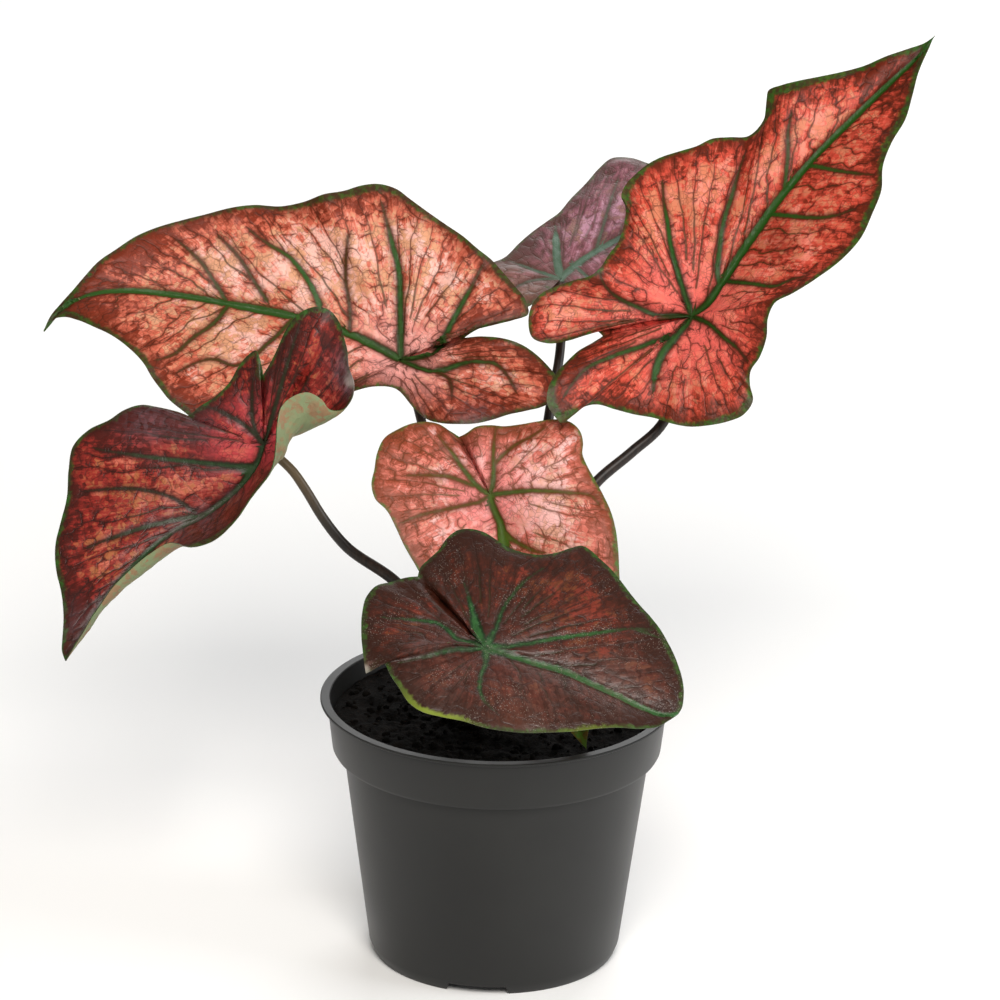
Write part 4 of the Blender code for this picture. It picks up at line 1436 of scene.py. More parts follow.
def upper_right_shape() -> LeafShape:
    """Return the coral red leaf that stands up to the right, its right half folded forward."""
    return LeafShape(
        LeafName.UPPER_RIGHT, joint=(63.5, 62.5, -20), tip=(143.8, 158, -38), bow=3,
        stem_top_radius=1.6, midrib_half=(1.45, 0.6), corners=[(33.8, 55.4)],
        midrib=rows("""
            67 64.8 -22, 72.8 72.8 -25, 82 87.3 -28, 93.3 103.6 -30, 105.9 118.5 -32,
            118.4 131.5 -34, 130 142.8 -36, 138.5 151 -37"""),
        side_a=rows("""
            140.3 155.4 -38, 135 153.4 -38, 128 150.9 -38, 120 147.3 -39, 112.5 145.2 -39,
            105 143.5 -38, 98 142 -37, 92.5 140.5 -38, 88.2 138.6 -40, 88 133 -38, 85.8 127.2 -38,
            81.5 123.2 -40"""),
        lobes=rows("""
            75.5 122.8 -40, 69.5 122.2 -38, 64.2 119.6 -36, 58.5 117.8 -37, 53 116 -36, 49 114 -33,
            44.2 110.2 -30, 40.5 106 -27, 39.3 102.6 -25, 40.7 99 -25, 40.3 93 -24, 38.5 87.2 -22,
            35.3 82.8 -19, 32.4 78.3 -16, 29.5 75.8 -16, 24 74.2 -18, 18 72 -20, 13 69.5 -21,
            9.8 65.5 -21, 8.7 60.2 -20, 10.2 54.5 -18 0 1.2 2.5, 15 52.8 -17 0 2.2 2,
            21.5 53.6 -17 0 2 1.5, 27.6 55.6 -17 0 1.2 1, 31.5 57.2 -18 0 0.5 0,
            33.8 55.4 -19 0 0 -2, 30.5 53.3 -14 0 0 1, 25.5 50.3 -11, 21.5 46.4 -8, 18 42.4 -5,
            15.7 37.8 -3, 15.3 32.8 -2, 17.6 28.8 -1, 20.2 26.2 -1, 24 28.6 -3, 28.1 31.8 -6,
            32.5 32.5 -9, 38 31 -11, 44.8 29.3 -11, 51.5 28.2 -10, 57 26.5 -8, 63 25.5 -7,
            69.5 26 -5, 76 27.4 -4, 81.2 29.7 -3, 84.4 34.5 -3, 83.4 39.5 -5, 83.3 44 -5,
            86.3 49 -2, 88.6 56 1, 89 62.5 3, 91.5 67.8 5"""),
        side_b=rows("""
            141.3 152.8 -36, 138.5 146 -32, 136.5 138 -27, 134.3 130 -23, 129.7 121.8 -18,
            126.8 113.5 -13, 126.5 106 -9, 123.5 97.8 -5, 120 90 -2, 113.5 82.5 1, 105 76 3,
            97 70.8 5"""),
        stem=rows("""
            7.5 2 91, 13 10 112, 21 20 134, 31.5 29.5 157.5, 44.5 35 168, 54 38.5 176, 60 43 188,
            62.5 46.5 203"""),
        veins=[
            Vein(1.1, 0.5, """
                61.1 70, 59.4 75.3, 57.6 81.3, 56.2 86.6, 55.3 92.7, 54.4 98, 53.6 102.7,
                53.2 107.4""", True),
            Vein(0.8, 0.35, """
                72.8 72.8, 72 78, 72.5 84.7, 73.2 91.5, 74.4 96.9, 76.1 102.3, 77.7 108.3,
                80.3 116.5"""),
            Vein(0.8, 0.35, "73.8 74.8, 79.5 74.2, 86.2 73.6, 91.6 73.4, 95.6 75.2, 100.9 76.6"),
            Vein(0.7, 0.3, "89.6 97.5, 95.4 96.9, 108.8 96.6, 112.8 97.5, 116.8 99.2"),
            Vein(0.7, 0.3, "101.9 113.8, 106 113.2, 111.4 112.2, 116.8 111.6, 122.8 111"),
            Vein(0.6, 0.3, "94 105, 94.7 112.7, 95 119.4, 94.9 124.8, 96 131"),
            Vein(0.8, 0.35, """
                58 55.8, 51.3 54.1, 46 52, 40 49.9, 34.7 47.8, 30 45.7, 26.7 43, 21 35""", True),
            Vein(0.8, 1.3, "60 57.8, 56.8 53.8, 53.8 49.8, 52.2 45.7, 51.2 41.7, 51 37.7", True),
            Vein(0.8, 0.4, "69 60.2, 74.4 55.5, 78.4 52.2, 81.8 48.2", True),
            Vein(0.75, 0.35, """
                57.9 62.6, 51.2 62.8, 45.8 65.1, 40.4 67.4, 36.3 70, 33.6 73.3,
                32.5 76.7""", True),
        ],
        patches={
            Tint.PALE: rows("""
                18 62 10 0.9, 30 60 8 0.5, 54 70 7 0.5, 50 98 10 0.9, 35 92 8 0.8, 66 105 8 0.6,
                72 72 12 0.5, 98 128 8 0.5, 108 130 6 0.4, 108 90 8 0.5, 20 66 8 0.7"""),
            Tint.DARK: rows("125 140 10 0.8, 104 108 9 0.4, 84 58 8 0.5, 30 42 9 0.5"),
            Tint.GREEN: rows("55 41 1.6 0.5, 57 38.5 1.3 0.35"),
            Tint.BROWN: rows("92 88 7 0.45, 60 34 10 0.3, 72 31 4 0.6"),
            Tint.BROAD_EDGE: rows("""
                93 139 11 2.5, 112 146 10 0.93, 134 126 14 1.5, 122 96 13 1.2, 78 29 12 1.1,
                18 31 8 2.5, 40 104 7 1.6, 140 155 8 0.93"""),
        })


def left_shape() -> LeafShape:
    """Return the dark crimson leaf at the left, its right half curled up and over."""
    return LeafShape(
        LeafName.LEFT, joint=(-79.5, 17.3, 10), tip=(-145.2, -56, 22), bow=3.5,
        stem_top_radius=1.5, midrib_half=(1, 0.4), corners=[(-80.4, 40.5)],
        midrib=rows("""
            -81.5 11 9, -86 4.5 8, -92.5 -1.5 7, -99 -6.4 7, -108.6 -11.6 8, -119.2 -20 10,
            -127.5 -29 13, -135 -39.5 16, -140.5 -48.5 19"""),
        side_a=rows("""
            -146.3 -52.5 20, -146.2 -49 18, -146 -45.5 16, -145.9 -41.5 14, -146.2 -37 11,
            -147 -32 8, -148.3 -27 6, -149 -22 4, -148.9 -16.8 2, -147.4 -10 -1, -145.3 -1 -3,
            -144.9 8 -5"""),
        lobes=rows("""
            -143.5 16 -6, -138.5 21.4 -5, -131.5 25 -3, -126.2 28.6 -1, -120.8 30.2 0, -115 29.4 1,
            -108.5 28 2, -105 26.9 4, -101.5 29.8 6, -96.5 33 7, -91.5 37.9 8, -88.3 43.5 8,
            -85 47.6 9, -82.6 49 10, -81.3 46.5 11, -80.4 40.5 12 0 0 -2, -78.2 44 14,
            -75.3 49.9 15, -73 55.2 16, -70.3 59.6 17, -66.5 62.8 18, -62.5 64 19, -58 62.8 20,
            -55 59.3 20.5 1 0 0, -53.4 54.5 21 2 0 0, -52 49.5 22 3 -1 0, -51.4 44 23 4 -1 0,
            -49.6 38.6 25 4 -1 1, -50.2 33.5 27 4 0 2, -53.5 29.6 29 4 0 3, -57.5 29.6 31 5 0 4,
            -60.5 33 32.5 6 -1 5, -65 35.2 33.5 6 -2 5, -70 33.8 34.5 5.5 -4 4,
            -73.8 30.4 35 5 -6 3, -75.2 25 36 4.5 -7 2, -75.6 17.5 36.5 3 -5 0,
            -76.5 10.5 36.5 1.5 -3 -1"""),
        side_b=rows("""
            -142 -50.5 23.5 0 -0.5 0, -139.5 -46.5 24.5 0 -1 0, -137 -42 25.5 0 -1.5 0,
            -133.5 -36.8 26.5 0 -3 1, -129.5 -31 27 0 -4.3 2, -124 -25.3 28 0 -5.5 2,
            -117.5 -19.8 29 -0.5 -6 3, -110.4 -15.8 30.5 -1 -5 3, -103.5 -17.2 31.5 0 -2 1,
            -96.5 -15.2 32.5 0 -1 0, -90 -9.5 33.5 0 -1 -1, -84 -1 35 0 -1 -2"""),
        stem=rows("""
            -8 -1.7 91, -17 0.5 108, -34.5 3.5 131.5, -52 0.5 146, -60 -1.5 157.5, -65 -1.8 166.3,
            -70 -1.3 173.5, -75 -0.3 178"""),
        veins=[
            Vein(0.85, 0.35, "-83.7 9.6, -105.9 11.6, -118 12.8, -135.8 15.2"),
            Vein(0.7, 0.3, "-98.9 -6.4, -115.3 -9.7, -127.3 -13.5, -138.1 -17.7"),
            Vein(0.35, 0.2, "-102.2 -5.8, -109.7 -0.9, -119.5 1.7, -138.3 1.1"),
            Vein(0.6, 0.3, "-80.1 18, -83.4 39.1", True),
            Vein(0.6, 0.3, "-80 18, -94.7 28.6, -99.4 30.1", True),
            Vein(0.6, 0.3, "-76 30, -72 45, -68 58", True),
        ],
        patches={
            Tint.PALE: rows("-125 -4 12 0.35, -130 -22 12 0.25, -108 0 9 0.35"),
            Tint.DARK: rows("""
                -112 22 9 0.8, -128 20 9 0.6, -66 48 8 0.1, -134 -36 8 0.6, -140 -46 12 0.9,
                -94 -6 6 0.6"""),
            Tint.GREEN: rows("-84 8 3.5 0.3"),
            Tint.BROWN: rows("""
                -104 -14 5 0.8, -96 -10 6 0.9, -88 -3 6 0.9, -80 8 5 0.8, -146 -50 9 0.6"""),
            # Painted sheen: the sky reflected purple-grey along the midrib fold and on the curled
            # lobe ends
            Tint.PAINTED_SHEEN: rows("""
                -108 -13 6 0.8, -98 -8 5 0.8, -90 0 4 0.6, -52 44 7 0.9, -50 38 4 1, -118 24 9 0.7,
                -102 22 7 0.5, -141 -44 8 0.4"""),
            Tint.BROAD_EDGE: rows("""
                -100 -15 7 3.2, -91 -9 6 3.6, -80 8 9 3.6, -150 0 12 0.5, -150 -30 10 0.6,
                -70 60 9 0.8"""),
        })


def back_shape() -> LeafShape:
    """Return the dusky leaf behind the others, which lies nearly level."""
    return LeafShape(
        LeafName.BACK, joint=(19.3, 74.4, -55), tip=(97, 103, -83), bow=2,
        stem_top_radius=1.5, midrib_half=(1.2, 0.5), corners=[(16, 70.5)],
        midrib=rows("""
            24 79 -60, 31 84 -65, 41 90 -71, 54 96 -77, 68 100.5 -81, 80 103 -83.5,
            89 103.7 -84"""),
        side_a=rows("""
            91.5 105.5 -86, 84.5 107.5 -89.5, 76 109.3 -92.5, 67 110.8 -95, 58 112.2 -96.5,
            49 113.4 -97.5, 42.5 115.3 -98.5, 36.2 115.2 -97"""),
        lobes=rows("""
            31.5 111.5 -93, 27.5 106.8 -88, 22.3 101.3 -82, 18 96.3 -76, 14.8 94 -73, 9.5 90 -69,
            5 86 -65, 0.4 81.5 -60, -5 79 -57, -10 75 -53, -11 70 -48, -7 66 -44, 0 64 -42,
            7 64.5 -43, 12.5 67.5 -46, 16 70.5 -51 0 0 -1, 18.5 66 -46, 23 62 -42, 29 60.5 -41,
            36 61.5 -43"""),
        side_b=rows("""
            91.5 99.8 -80, 86 96 -75.5, 80 91.5 -71, 73 86 -66.5, 65.5 80.2 -61.5, 58 74.7 -56.5,
            50.5 69.5 -51.5, 43 65.5 -47"""),
        stem=rows("3 8.3 91, 9 24 118, 13 40 146, 16.3 55 173, 20 67.5 194.5, 20.3 74 205"),
        veins=[
            Vein(1.6, 1.1, "18.2 80.4, 17.7 87, 17.3 92.5", True),
            Vein(0.7, 0.4, "1.2 80.9", True),
            Vein(0.6, 0.3, "8.5 73.6, 2 70", True),
            Vein(0.6, 0.3, "24 79, 36 72, 46 72"),
            Vein(0.5, 0.3, "31 84, 34 95, 38 108"),
            Vein(0.5, 0.3, "41 90, 48 100, 54 110"),
        ],
        patches={
            Tint.PALE: rows("30 100 12 0.6, 22 88 8 0.3"),
            Tint.BROWN: rows("-2 70 10 0.7, 10 68 8 0.5"),
            Tint.BROAD_EDGE: rows("0 68 12 1.2"),
        })


def middle_shape() -> LeafShape:
    """Return the pale pink leaf in the middle, which hangs with its tip down to the soil."""
    return LeafShape(
        LeafName.MIDDLE, joint=(-3.5, 1.7, -8), tip=(30.2, -83.3, 14.5), bow=2.5,
        stem_top_radius=1.4, midrib_half=(1.15, 0.6), corners=[(-14, 21)],
        midrib=rows("""
            -2.5 -1.8 -8, 0.2 -8 -8, 1.5 -15 -7, 5 -27 -4, 10 -40 0, 16 -54 4, 22 -66 8,
            27 -75.5 12"""),
        side_a=rows("""
            27 -79.8 14, 23.5 -76.3 13.5, 15 -71 13, 5 -64 12, -5 -55.5 10.5, -13.5 -46 9,
            -20 -36 7.5, -25 -27.5 6, -28.4 -21.7 4.5"""),
        lobes=rows("""
            -32 -15.7 3, -34.8 -9.8 2, -38 -4 1, -42 0 0, -43.2 4.5 -1, -42.3 9.7 -3, -41.5 15 -5,
            -39 20.3 -7, -35 23 -9, -30 25.2 -10, -25.5 25.9 -10, -21 25.2 -11, -17.3 23 -13,
            -14 21 -15 0 0 -3, -11.5 22.3 -13, -8.5 24.4 -12, -3.5 25.1 -13, 1 24.8 -14,
            6 25.4 -14, 12 26.5 -13, 18.5 27.3 -12, 23.5 26.3 -11, 26.6 23.3 -9.5, 27.6 19.5 -8.5,
            27.4 16.2 -8, 29 12 -6, 31.9 7 -4, 34.7 2 -2, 37.3 -3.5 0, 39 -9.5 1.5"""),
        side_b=rows("""
            30.3 -79.8 14, 30.9 -76 13.5, 33 -70 12.5, 36 -62 11, 38.5 -52.5 9, 40.2 -43 7.5,
            40.9 -33.5 5.5, 40.4 -24 4, 39.9 -16 2.5"""),
        stem=rows("0 0.7 91, -1 7 112, -2.6 13.5 136, -3.6 15.5 150, -3.8 13.2 158"),
        veins=[
            Vein(0.75, 0.35, "-2.6 4.9, -2.3 9.6, -2.4 15, -2.2 19.7, -1.6 24.4", True),
            Vein(0.45, 0.25, "-2.3 11.6, 1.3 15.7, 5.2 19.1, 9.8 21.5, 14.5 24.3"),
            Vein(0.8, 0.35, """
                -8.7 5.5, -10.7 8.1, -13.4 11.4, -16.1 15.4, -18.2 17.7, -21 21.4""", True),
            Vein(0.55, 0.25, "-9.3 4.8, -13.4 6.4, -17.4 7.7, -22.1 8, -26.8 8, -30.8 7.8"),
            Vein(0.5, 0.25, """
                -6.6 -0.6, -10.6 -1.6, -15.3 -2.7, -20 -3.8, -24.6 -4.8, -28.6 -6.2,
                -32.6 -8""", True),
            Vein(0.75, 0.3, """
                0.1 2.2, 4.1 2.8, 8.8 3.3, 13.5 3.4, 18.2 3.3, 23.6 2.9, 27.6 2.8, 30.3 2,
                33 -0.7""", True),
            Vein(0.6, 0.4, "1 -11, 4.3 -13.2, 8.4 -15.5, 12.4 -17.1, 14.5 -17.6"),
        ],
        patches={
            Tint.PALE: rows("18 8 12 0.9, 6 -4 8 0.6, -8 16 6 0.5, 20 -12 10 0.7"),
            Tint.DARK: rows("-22 -10 8 0.1, -28 14 8 0.35, 33 -4 9 0.4, 4 26 6 0.3"),
            Tint.GREEN: rows("1 -12 2 0.35, 1.5 -15 2 0.3"),
            Tint.BROWN: rows("-24 4 6 0.35, -14 20 5 0.4"),
            Tint.BROAD_EDGE: rows("28 -79 16 12, 38 -20 16 0.8"),
        })


def front_shape() -> LeafShape:
    """Return the dark maroon leaf low at the front, which leans out over the pot's lip."""
    return LeafShape(
        LeafName.FRONT, joint=(-4.5, -49.5, 36), tip=(60.8, -71.1, 43), bow=2.5,
        stem_top_radius=1.5, midrib_half=(1.3, 0.6), corners=[(-27.2, -26), (-44.2, -58.8)],
        midrib=rows("""
            2 -51.5 37, 12 -54.3 38, 21.7 -56.8 39, 31 -61 41, 41 -65.3 43, 50 -69.5 44,
            56 -71.3 44"""),
        side_a=rows("""
            62 -69 42, 62.5 -66 41, 62.5 -62.5 39.5, 61.8 -58.5 37.5, 60.5 -54.5 35.5, 59 -50.8 33,
            57 -47 30.5, 54.6 -43 28"""),
        lobes=rows("""
            51 -38.5 25, 47.5 -34.8 22.5, 44 -30.6 20, 41 -26.7 17.5, 37.5 -22.6 15, 33.8 -19.3 13,
            30.4 -16.3 11.5, 28 -15 11, 24 -15.8 11.5, 19 -17.5 13, 14 -18.2 14, 8.5 -17.6 14,
            3 -15.8 13, -1 -13.4 11.5, -5 -11 10, -9.3 -9.9 9, -14 -10.4 9, -17.5 -13 10.5,
            -20.5 -17.3 13, -24 -20.6 15, -26.3 -23 17, -27.2 -26 20 0 0 -4, -31 -26.5 19,
            -36 -28 20, -41 -29.3 22, -44.2 -32.8 25, -45.7 -38.5 30, -45.9 -46 36 0 0.5 2.5,
            -45.2 -52.5 41 0 2.2 2.5, -44.2 -58.8 45.5 0 4.8 2.5, -41.3 -57.3 44.5 0 3.4 2.5,
            -38.4 -55.4 43 0 1 2.5, -36 -59.2 46, -33 -63.5 49, -29.5 -68.5 52.5, -25 -71.4 55,
            -19 -72.9 56, -11 -74.4 57, -4.5 -76.3 58, 3 -77.5 58"""),
        side_b=rows("""
            57.9 -73 45, 54 -75.3 48, 48 -76 51, 41 -75.7 53, 34 -76.1 55, 26 -77.2 56,
            18 -77.7 57, 10 -78 57"""),
        stem=rows("-2 -7.3 91, -8 -13 101, -13.5 -24 111, -13.5 -38 118.5, -9 -47 123.5"),
        veins=[
            Vein(0.85, 0.4, """
                2.3 -49.1, 10.7 -47.6, 17.3 -46.4, 23.2 -45.2, 30.7 -44.3, 38.3 -43.3, 44.9 -42.6,
                50.8 -42.6""", True),
            Vein(0.4, 0.3, "44.9 -42.6, 50 -44, 54.2 -45.5"),
            Vein(0.7, 0.3, "-1.1 -43.7, 1.3 -36.9, 3.8 -32.7, 8.7 -27.2, 14.5 -22.9", True),
            Vein(1.2, 0.4, "-7 -43.8, -8.8 -37.1, -10.5 -31.2, -11.8 -27.9", True),
            Vein(0.85, 0.4, """
                -8.6 -48, -13.7 -46.4, -17.1 -43.5, -20.4 -41.5, -25.5 -40.7, -31.4 -40.3,
                -38.9 -39.9""", True),
            Vein(0.75, 0.35, "-9.4 -50.1, -16.1 -50.6, -21.1 -52, -26.1 -53.3, -32.8 -55.1", True),
            Vein(0.9, 0.4, "-3.9 -53.8, -5.5 -58.9, -5.9 -63.1, -4.2 -67.3, 0.1 -71.4", True),
        ],
        patches={
            Tint.PALE: rows("""
                24 -32 12 0.9, 36 -38 10 0.4, 6 -24 8 0.3, -36 -50 9 0.3, -38 -36 8 0.5"""),
            Tint.DARK: rows("-12 -24 8 0.3, 6 -40 9 0.2"),
            Tint.GREEN: rows("-7 -42 4 0.22, -3 -49 3.5 0.25"),
            Tint.YELLOW: rows("-26 -71 9 1, -16 -73 8 1, 30 -77 10 0.6"),
            Tint.BROWN: rows("6 -78 9 0.8"),
            # Painted sheen low on the blade, and a painted highlight at the hooked left tip
            Tint.PAINTED_SHEEN: rows("12 -64 16 0.45, -18 -60 12 0.4, 42 -60 13 0.5, -44.6 -57.6 3.2 1.7"),
            Tint.BROAD_EDGE: rows("-46 -40 12 0.7, 62 -50 12 0.9, 44 -31 10 0.6, -28 -68 9 0.9"),
        })

def skins() -> dict[LeafName, LeafSkin]:
    """Return each leaf's skin. The colours are light, tan, middle, deep, glow, net, and so on."""
    return {
        LeafName.UPPER_LEFT: LeafSkin(
            "salmon", *"#ffcabb #dfa073 #e0745a #8a341e #ffb8b0 #52210c #2f5a22 #26380e "
            "#2f5a1a #3a2e18 #a99a80 #6f7f4a".split(),
            back_share=0.6, lightness=0.53, contrast=0.32, glow_strength=0.85, edge_width=1.1,
            mottle=0.55),
        LeafName.UPPER_RIGHT: LeafSkin(
            "coral", *"#ff9a84 #dc8660 #df5440 #7c2a14 #ff7a70 #471a09 #245818 #20380c "
            "#2a651a #363a1a #a08c74 #6a7a46".split(),
            back_share=0.6, lightness=0.54, glow_reach=34.0, glow_strength=0.95, edge_width=1.1,
            mottle=0.5),
        LeafName.LEFT: LeafSkin(
            "crimson", *"#cc6c56 #a8643a #982c24 #501710 #d44a52 #2c1109 #233f1f #1a2810 "
            "#2a5a1c #2c3018 #7b8862 #55663e".split(),
            back_share=0.85, lightness=0.45, see_through=0.1, roughness=0.38, gloss=0.35,
            edge_width=1.1, mottle=0.5),
        LeafName.BACK: LeafSkin(
            "dusky", *"#b8889a #8c6656 #86505c #563436 #8c6660 #4a3026 #56705f #465f4c "
            "#4c5a3a #44362c #7f9064 #4f6a3a".split(),
            back_share=0.85, blot="#84644c", lightness=0.48, see_through=0.1, roughness=0.34,
            gloss=0.5, glow_strength=0.2, mottle=0.2, net_strength=0.25, twig_strength=0.4,
            edge_width=0.7, outline=0.3),
        LeafName.MIDDLE: LeafSkin(
            "pink", *"#fcc6bf #e0a586 #e07a68 #a04c34 #f79896 #6a3618 #4a6a1c #414c14 "
            "#3f6f20 #5a4a18 #a99a80 #6f7f4a".split(),
            back_share=0.6, lightness=0.52, edge_width=0.7, twig_strength=0.7, net_strength=0.45,
            mottle=0.45),
        # Its sheen colour is a painted reflection of the sky in the wax
        LeafName.FRONT: LeafSkin(
            "maroon", *"#7a3022 #66391f #4c2014 #34180d #60281f #2a140c #2b5a2b #0f2f12 "
            "#34581e #2c321a #7f9064 #4f6a3a".split(),
            back_share=0.85, lightness=0.35, see_through=0.08, roughness=0.36, gloss=0.4,
            dust=0.55, painted_sheen="#6a5048", glow_strength=0.3, fray=1.1, twig_strength=0.45,
            net_strength=0.4, edge_width=1.0, outline=0.3),
    }


# ---------------------------------------------------------------------------------------------
# Pot and soil
# ---------------------------------------------------------------------------------------------


@dataclass
class NurseryPot:
    """The thin pot: a flat lip, a band that steps in, a tapered body and three drain channels."""

    plastic: PotPlastic
    height: float = 92.0
    lip_radius: float = 60.0
    band_top: float = 57.7
    band_foot: float = 55.8
    step_height: float = 73.3
    body_top: float = 51.8
    body_foot: float = 42.8
    foot_radius: float = 40.6
    wall: float = 1.2
    steps: int = 144
    channel_angles: Row = (-97.6, 22.4, 142.4)
    channel_start: float = 16.0
    channel_width: float = 22.0
    channel_height: float = 3.1
    drain_radius: float = 4.0
    drain_from_middle: float = 29.0

    def body_radius(self, height: float, inset: float = 0.0) -> float:
        """Return the tapered body's radius at a height, moved in by an inset."""
        share = (height - 4.4) / (self.step_height - 1.8 - 4.4)
        return self.body_foot + (self.body_top - self.body_foot) * share - inset

    def profile(self) -> list[Row]:
        """Draw the wall, from the foot's middle up the outside and down the inside.

        Returns:
            The (radius, height) pairs of its profile.
        """
        foot, step, top = self.body_foot, self.step_height, self.height
        slope = (self.band_top - self.band_foot) / (top - 1.2 - step - 1.6)
        mouth = self.band_top - self.wall + slope * 1.2
        ledge = self.band_foot - self.wall
        inner = step + self.wall
        return [
            (0.0, 0.0), (self.foot_radius, 0.0), (foot - 1.2, 1.3), (foot, 4.4),
            (self.body_radius(28.0), 28.0), (self.body_radius(52.0), 52.0),
            (self.body_top, step - 1.8), (self.body_top + 0.2, step - 0.1),
            (self.band_foot - 1.8, step), (self.band_foot - 0.6, step + 0.5),
            (self.band_foot, step + 1.6), (self.band_top, top - 1.2),
            (self.lip_radius - 0.35, top - 1.0), (self.lip_radius, top - 0.75),
            (self.lip_radius, top - 0.25), (self.lip_radius - 0.3, top), (mouth + 0.3, top),
            (mouth, top - 0.3), (ledge, inner + 1.2), (ledge - 0.9, inner + 0.1),
            (self.body_radius(step, self.wall), inner), (self.body_radius(4.6, self.wall), 4.6),
            (self.body_radius(2.1, self.wall + 0.8), 2.1), (self.foot_radius - 0.4, self.wall),
            (0.0, self.wall),
        ]

    def channel(self, angle: float, gap: float, top: float) -> Piece:
        """Make a wedge-sided bar that runs out from the pot's axis, narrower at its top.

        Args:
            angle: Its direction, in radians.
            gap: How far it stands out all round past the channel, in millimetres.
            top: The height of its top, in millimetres.

        Returns:
            The bar.
        """
        deselect()
        bpy.ops.mesh.primitive_cube_add(size=1.0)
        bar = name_piece(bpy.context.object, "channel")
        flat = mesh_points(bar) * MM
        high = flat[:, 2] > 0
        slant = np.where(high, 1.3, 0.0)
        out = np.where(flat[:, 0] > 0, 60.0, self.channel_start - gap + slant)
        side = (self.channel_width / 2 + gap - slant) * np.sign(flat[:, 1])
        move_points(bar, np.stack([out * math.cos(angle) - side * math.sin(angle),
                                   out * math.sin(angle) + side * math.cos(angle),
                                   np.where(high, top, -1.0)], axis=1))
        return bar

    def combine(self, piece: Piece, tool: Piece, kind: str) -> None:
        """Join a tool to a piece, or cut one with the other.

        Args:
            piece: The piece.
            tool: The tool, which is removed.
            kind: UNION, DIFFERENCE or INTERSECT.
        """
        boolean = piece.modifiers.new("Shape", "BOOLEAN")
        boolean.operation = kind
        boolean.object = tool
        boolean.solver = "EXACT"
        apply_modifiers(piece)
        bpy.data.objects.remove(tool)

    def build(self) -> Piece:
        """Turn the wall, raise and cut the channels, and drill the drain holes.

        Returns:
            The finished piece.
        """
        pot = lathe("nursery_pot", self.profile(), self.steps)
        angles = [math.radians(angle) for angle in self.channel_angles]
        foot = self.body_foot
        for angle in angles:
            back = self.channel(angle, self.wall, self.channel_height + self.wall)
            trim = lathe("trim", [(0.0, 0.5), (self.foot_radius - 0.1, 0.5), (foot - 1.6, 1.3),
                                  (foot - 0.7, 4.4), (foot - 0.7, 9.0), (0.0, 9.0)], 96)
            self.combine(back, trim, "INTERSECT")
            self.combine(pot, back, "UNION")
        for angle in angles:
            self.combine(pot, self.channel(angle, 0.0, self.channel_height), "DIFFERENCE")
            deselect()
            bpy.ops.mesh.primitive_cylinder_add(
                vertices=40, radius=self.drain_radius * MM, depth=8 * MM,
                location=(self.drain_from_middle * math.cos(angle) * MM,
                          self.drain_from_middle * math.sin(angle) * MM, 5 * MM))
            self.combine(pot, bpy.context.object, "DIFFERENCE")
        pot.data.materials.clear()
        pot.data.materials.append(self.plastic.build())
        shade(pot, Shading.SMOOTH_WITH_EDGES, 28.0)
        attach(pot, BODY)
        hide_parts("pot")
        return pot


@dataclass
class PottingSoil:
    """The soil: a lumpy top between the stalks, with loose crumbs on it."""

    peat: bpy.types.Material
    middle: float = 87.6
    edge: float = 85.2
    radius: float = 55.6
    lumps: float = 1.5
    crumbs: int = 420
    crumb_reach: float = 53.5

    def surface(self, x: float, y: float) -> float:
        """Work out the height of the soil's lumpy top.

        Args:
            x: The place, to the right.
            y: The place, to the back.

        Returns:
            The height there, in millimetres.
        """
        away = min(1.0, math.hypot(x, y) / self.radius)
        level = self.middle + (self.edge - self.middle) * away**2
        place = Vector((x, y, 3.0))
        lump = noise.noise(place / 9.0) + 0.6 * noise.noise(place / 4.0)
        lump += 0.45 * noise.noise(place / 1.9) + 0.25 * noise.noise(place / 0.9)
        return level + self.lumps * lump * (1.0 - 0.6 * away**6)

    def build(self) -> list[Piece]:
        """Make the body of the soil and the crumbs on it.

        Returns:
            The two finished pieces.
        """
        rings = [(self.radius * (i / 90), self.middle) for i in range(91)]
        profile = rings + [(54.2, 76.5), (50.4, 74.2), (42.4, 8.0), (40.0, 6.0), (0.0, 6.0)]
        soil = lathe("potting_soil", profile, 240)
        points = mesh_points(soil)
        for point in points:
            if point[2] > self.middle - 0.1:
                point[2] = self.surface(point[0], point[1])
        move_points(soil, points)
        soil.data.materials.append(self.peat)
        loose = self.loose_crumbs()
        for piece in (soil, loose):
            shade(piece, Shading.SMOOTH)
            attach(piece, BODY)
            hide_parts("soil")
        return [soil, loose]

    def loose_crumbs(self) -> Piece:
        """Model one crumb, and lay turned and scaled copies of it on the soil as one piece.

        Returns:
            The finished piece.
        """
        rng = np.random.default_rng(31)
        deselect()
        bpy.ops.mesh.primitive_ico_sphere_add(subdivisions=2, radius=MM)
        crumb = name_piece(bpy.context.object, "soil_crumbs")
        shape = mesh_points(crumb)
        shape *= 1.0 + 0.5 * np.array([[noise.noise(Vector(p) * 1.3)] for p in shape])
        faces = np.array([face.vertices[:] for face in crumb.data.polygons])
        places, corners = [], []
        for number in range(self.crumbs):
            away, turn = self.crumb_reach * math.sqrt(rng.random()), rng.uniform(0, math.tau)
            x, y = away * math.cos(turn), away * math.sin(turn)
            size = rng.uniform(0.35, 1.0) ** 2 * 1.7 + 0.15
            spin = np.array(Matrix.Rotation(rng.uniform(0, math.tau), 3, rng.normal(size=3)))
            squash = np.array([1.0, rng.uniform(0.5, 1.0), rng.uniform(0.4, 0.9)])
            place = (shape * squash * size) @ spin.T
            places.append(place + (x, y, self.surface(x, y) + 0.15 * size))
            corners.append(faces + number * len(shape))
        mesh = bpy.data.meshes.new("soil_crumbs")
        mesh.from_pydata(np.concatenate(places) * MM, [], np.concatenate(corners).tolist())
        crumb.data = mesh
        mesh.materials.append(self.peat)
        return crumb


# ---------------------------------------------------------------------------------------------
# Studio
# ---------------------------------------------------------------------------------------------


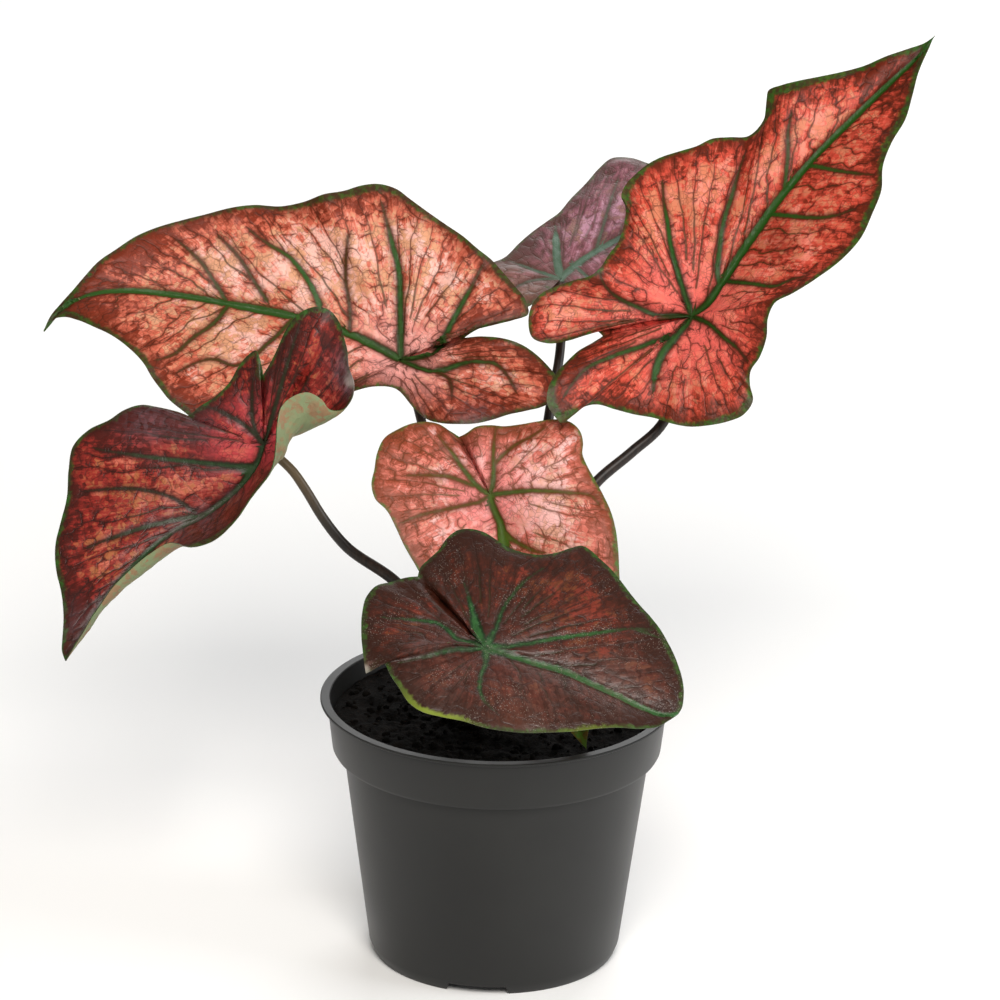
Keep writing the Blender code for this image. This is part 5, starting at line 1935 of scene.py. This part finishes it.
@dataclass
class Studio:
    """A plain pale floor, soft lights and the camera at the photograph's angle."""

    floor_size: float = 16.0

    def floor(self) -> None:
        """Lay the floor."""
        deselect()
        bpy.ops.mesh.primitive_plane_add(size=self.floor_size)
        floor = name_piece(bpy.context.object, "studio_floor")
        floor.data.materials.append(FloorPaint().build())

    def lamp(self, name: str, place: Row, size: float, power: float, tint: str) -> None:
        """Hang a square area light that points at the plant.

        Args:
            name: The light's name.
            place: Where it hangs, in metres.
            size: Its side, in metres.
            power: Its power, in watts.
            tint: Its colour.
        """
        light = bpy.data.lights.new(name, "AREA")
        light.size = size
        light.energy = power
        light.color = colour(tint)[:3]
        lamp = bpy.data.objects.new(name, light)
        lamp.location = place
        aim = Vector((0.0, 0.0, 0.17)) - Vector(place)
        lamp.rotation_euler = aim.to_track_quat("-Z", "Y").to_euler()
        bpy.context.scene.collection.objects.link(lamp)

    def lights(self) -> None:
        """Hang the lamps and light the room evenly."""
        self.lamp("key", (0.1, -2.0, 1.9), 1.2, 70.0, "#fffaf4")
        self.lamp("fill", (2.0, -0.5, 0.7), 1.2, 30.0, "#f6faff")
        self.lamp("behind", (0.4, 1.6, 1.3), 1.3, 20.0, "#ffffff")
        world = bpy.data.worlds.new("studio_room")
        world.use_nodes = True
        world.node_tree.nodes["Background"].inputs[0].default_value = colour("#ffffff")
        world.node_tree.nodes["Background"].inputs[1].default_value = 0.28
        bpy.context.scene.world = world

    def camera(self) -> None:
        """Stand the camera where the leaf points are seen from."""
        lens = bpy.data.cameras.new("camera")
        lens.sensor_width = 36.0
        lens.lens = 36.0 * VIEW_DISTANCE / VIEW_WIDTH
        lens.clip_end = 50.0
        camera = bpy.data.objects.new("camera", lens)
        camera.location = (VIEW_CENTRE + VIEW_NEAR * VIEW_DISTANCE) * MM
        tilt = Matrix.Rotation(math.pi / 2 - VIEW_TILT, 4, "X")
        camera.rotation_euler = (tilt @ Matrix.Rotation(VIEW_ROLL, 4, "Z")).to_euler()
        bpy.context.scene.collection.objects.link(camera)
        bpy.context.scene.camera = camera

    def build(self) -> None:
        """Set up the floor, the lights and the camera."""
        self.floor()
        self.lights()
        self.camera()
        bpy.context.scene.view_settings.view_transform = "Standard"


def write_sizes() -> None:
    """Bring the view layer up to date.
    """
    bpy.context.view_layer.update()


# How finely each blade is made: columns from one point of the outline to the next, and rings
FINENESS = {LeafName.UPPER_LEFT: (9, 76), LeafName.UPPER_RIGHT: (8, 76), LeafName.LEFT: (8, 70),
            LeafName.BACK: (9, 54), LeafName.MIDDLE: (8, 60), LeafName.FRONT: (8, 66)}
# A leaf that shows its underside keeps it nearer the joint and at the tip: its crease_reach,
# crease_end and tip_reach
CREASES = {LeafName.LEFT: (14.0, -77.0, 0.0)}


def main() -> None:
    """Build the potted plant and the studio round it."""
    logging.basicConfig(level=logging.INFO, format="%(name)s: %(message)s")
    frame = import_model()
    deselect()
    Studio().build()

    pieces = [NurseryPot(PotPlastic()).build(), *PottingSoil(MoistPeat().build()).build()]
    tuber = frame["nodes"]["tuber"]
    tuber.data.materials.clear()
    tuber.data.materials.append(TuberSkin().build())

    stalk_skin = PetioleSkin().build()
    shapes = [upper_left_shape(), upper_right_shape(), left_shape(), back_shape(),
              middle_shape(), front_shape()]
    for number, shape in enumerate(shapes):
        blade = Blade(shape, skins()[shape.name], number + 3, *FINENESS[shape.name],
                      *CREASES.get(shape.name, ()))
        young = 0.9 if shape.name is LeafName.LEFT else 0.15
        pieces += [blade.build(), Petiole(shape, stalk_skin, young).build()]
    for piece in pieces:
        LOG.info("%s has %d faces", piece.name, len(piece.data.polygons))
    write_sizes()


if __name__ == "__main__":
    main()
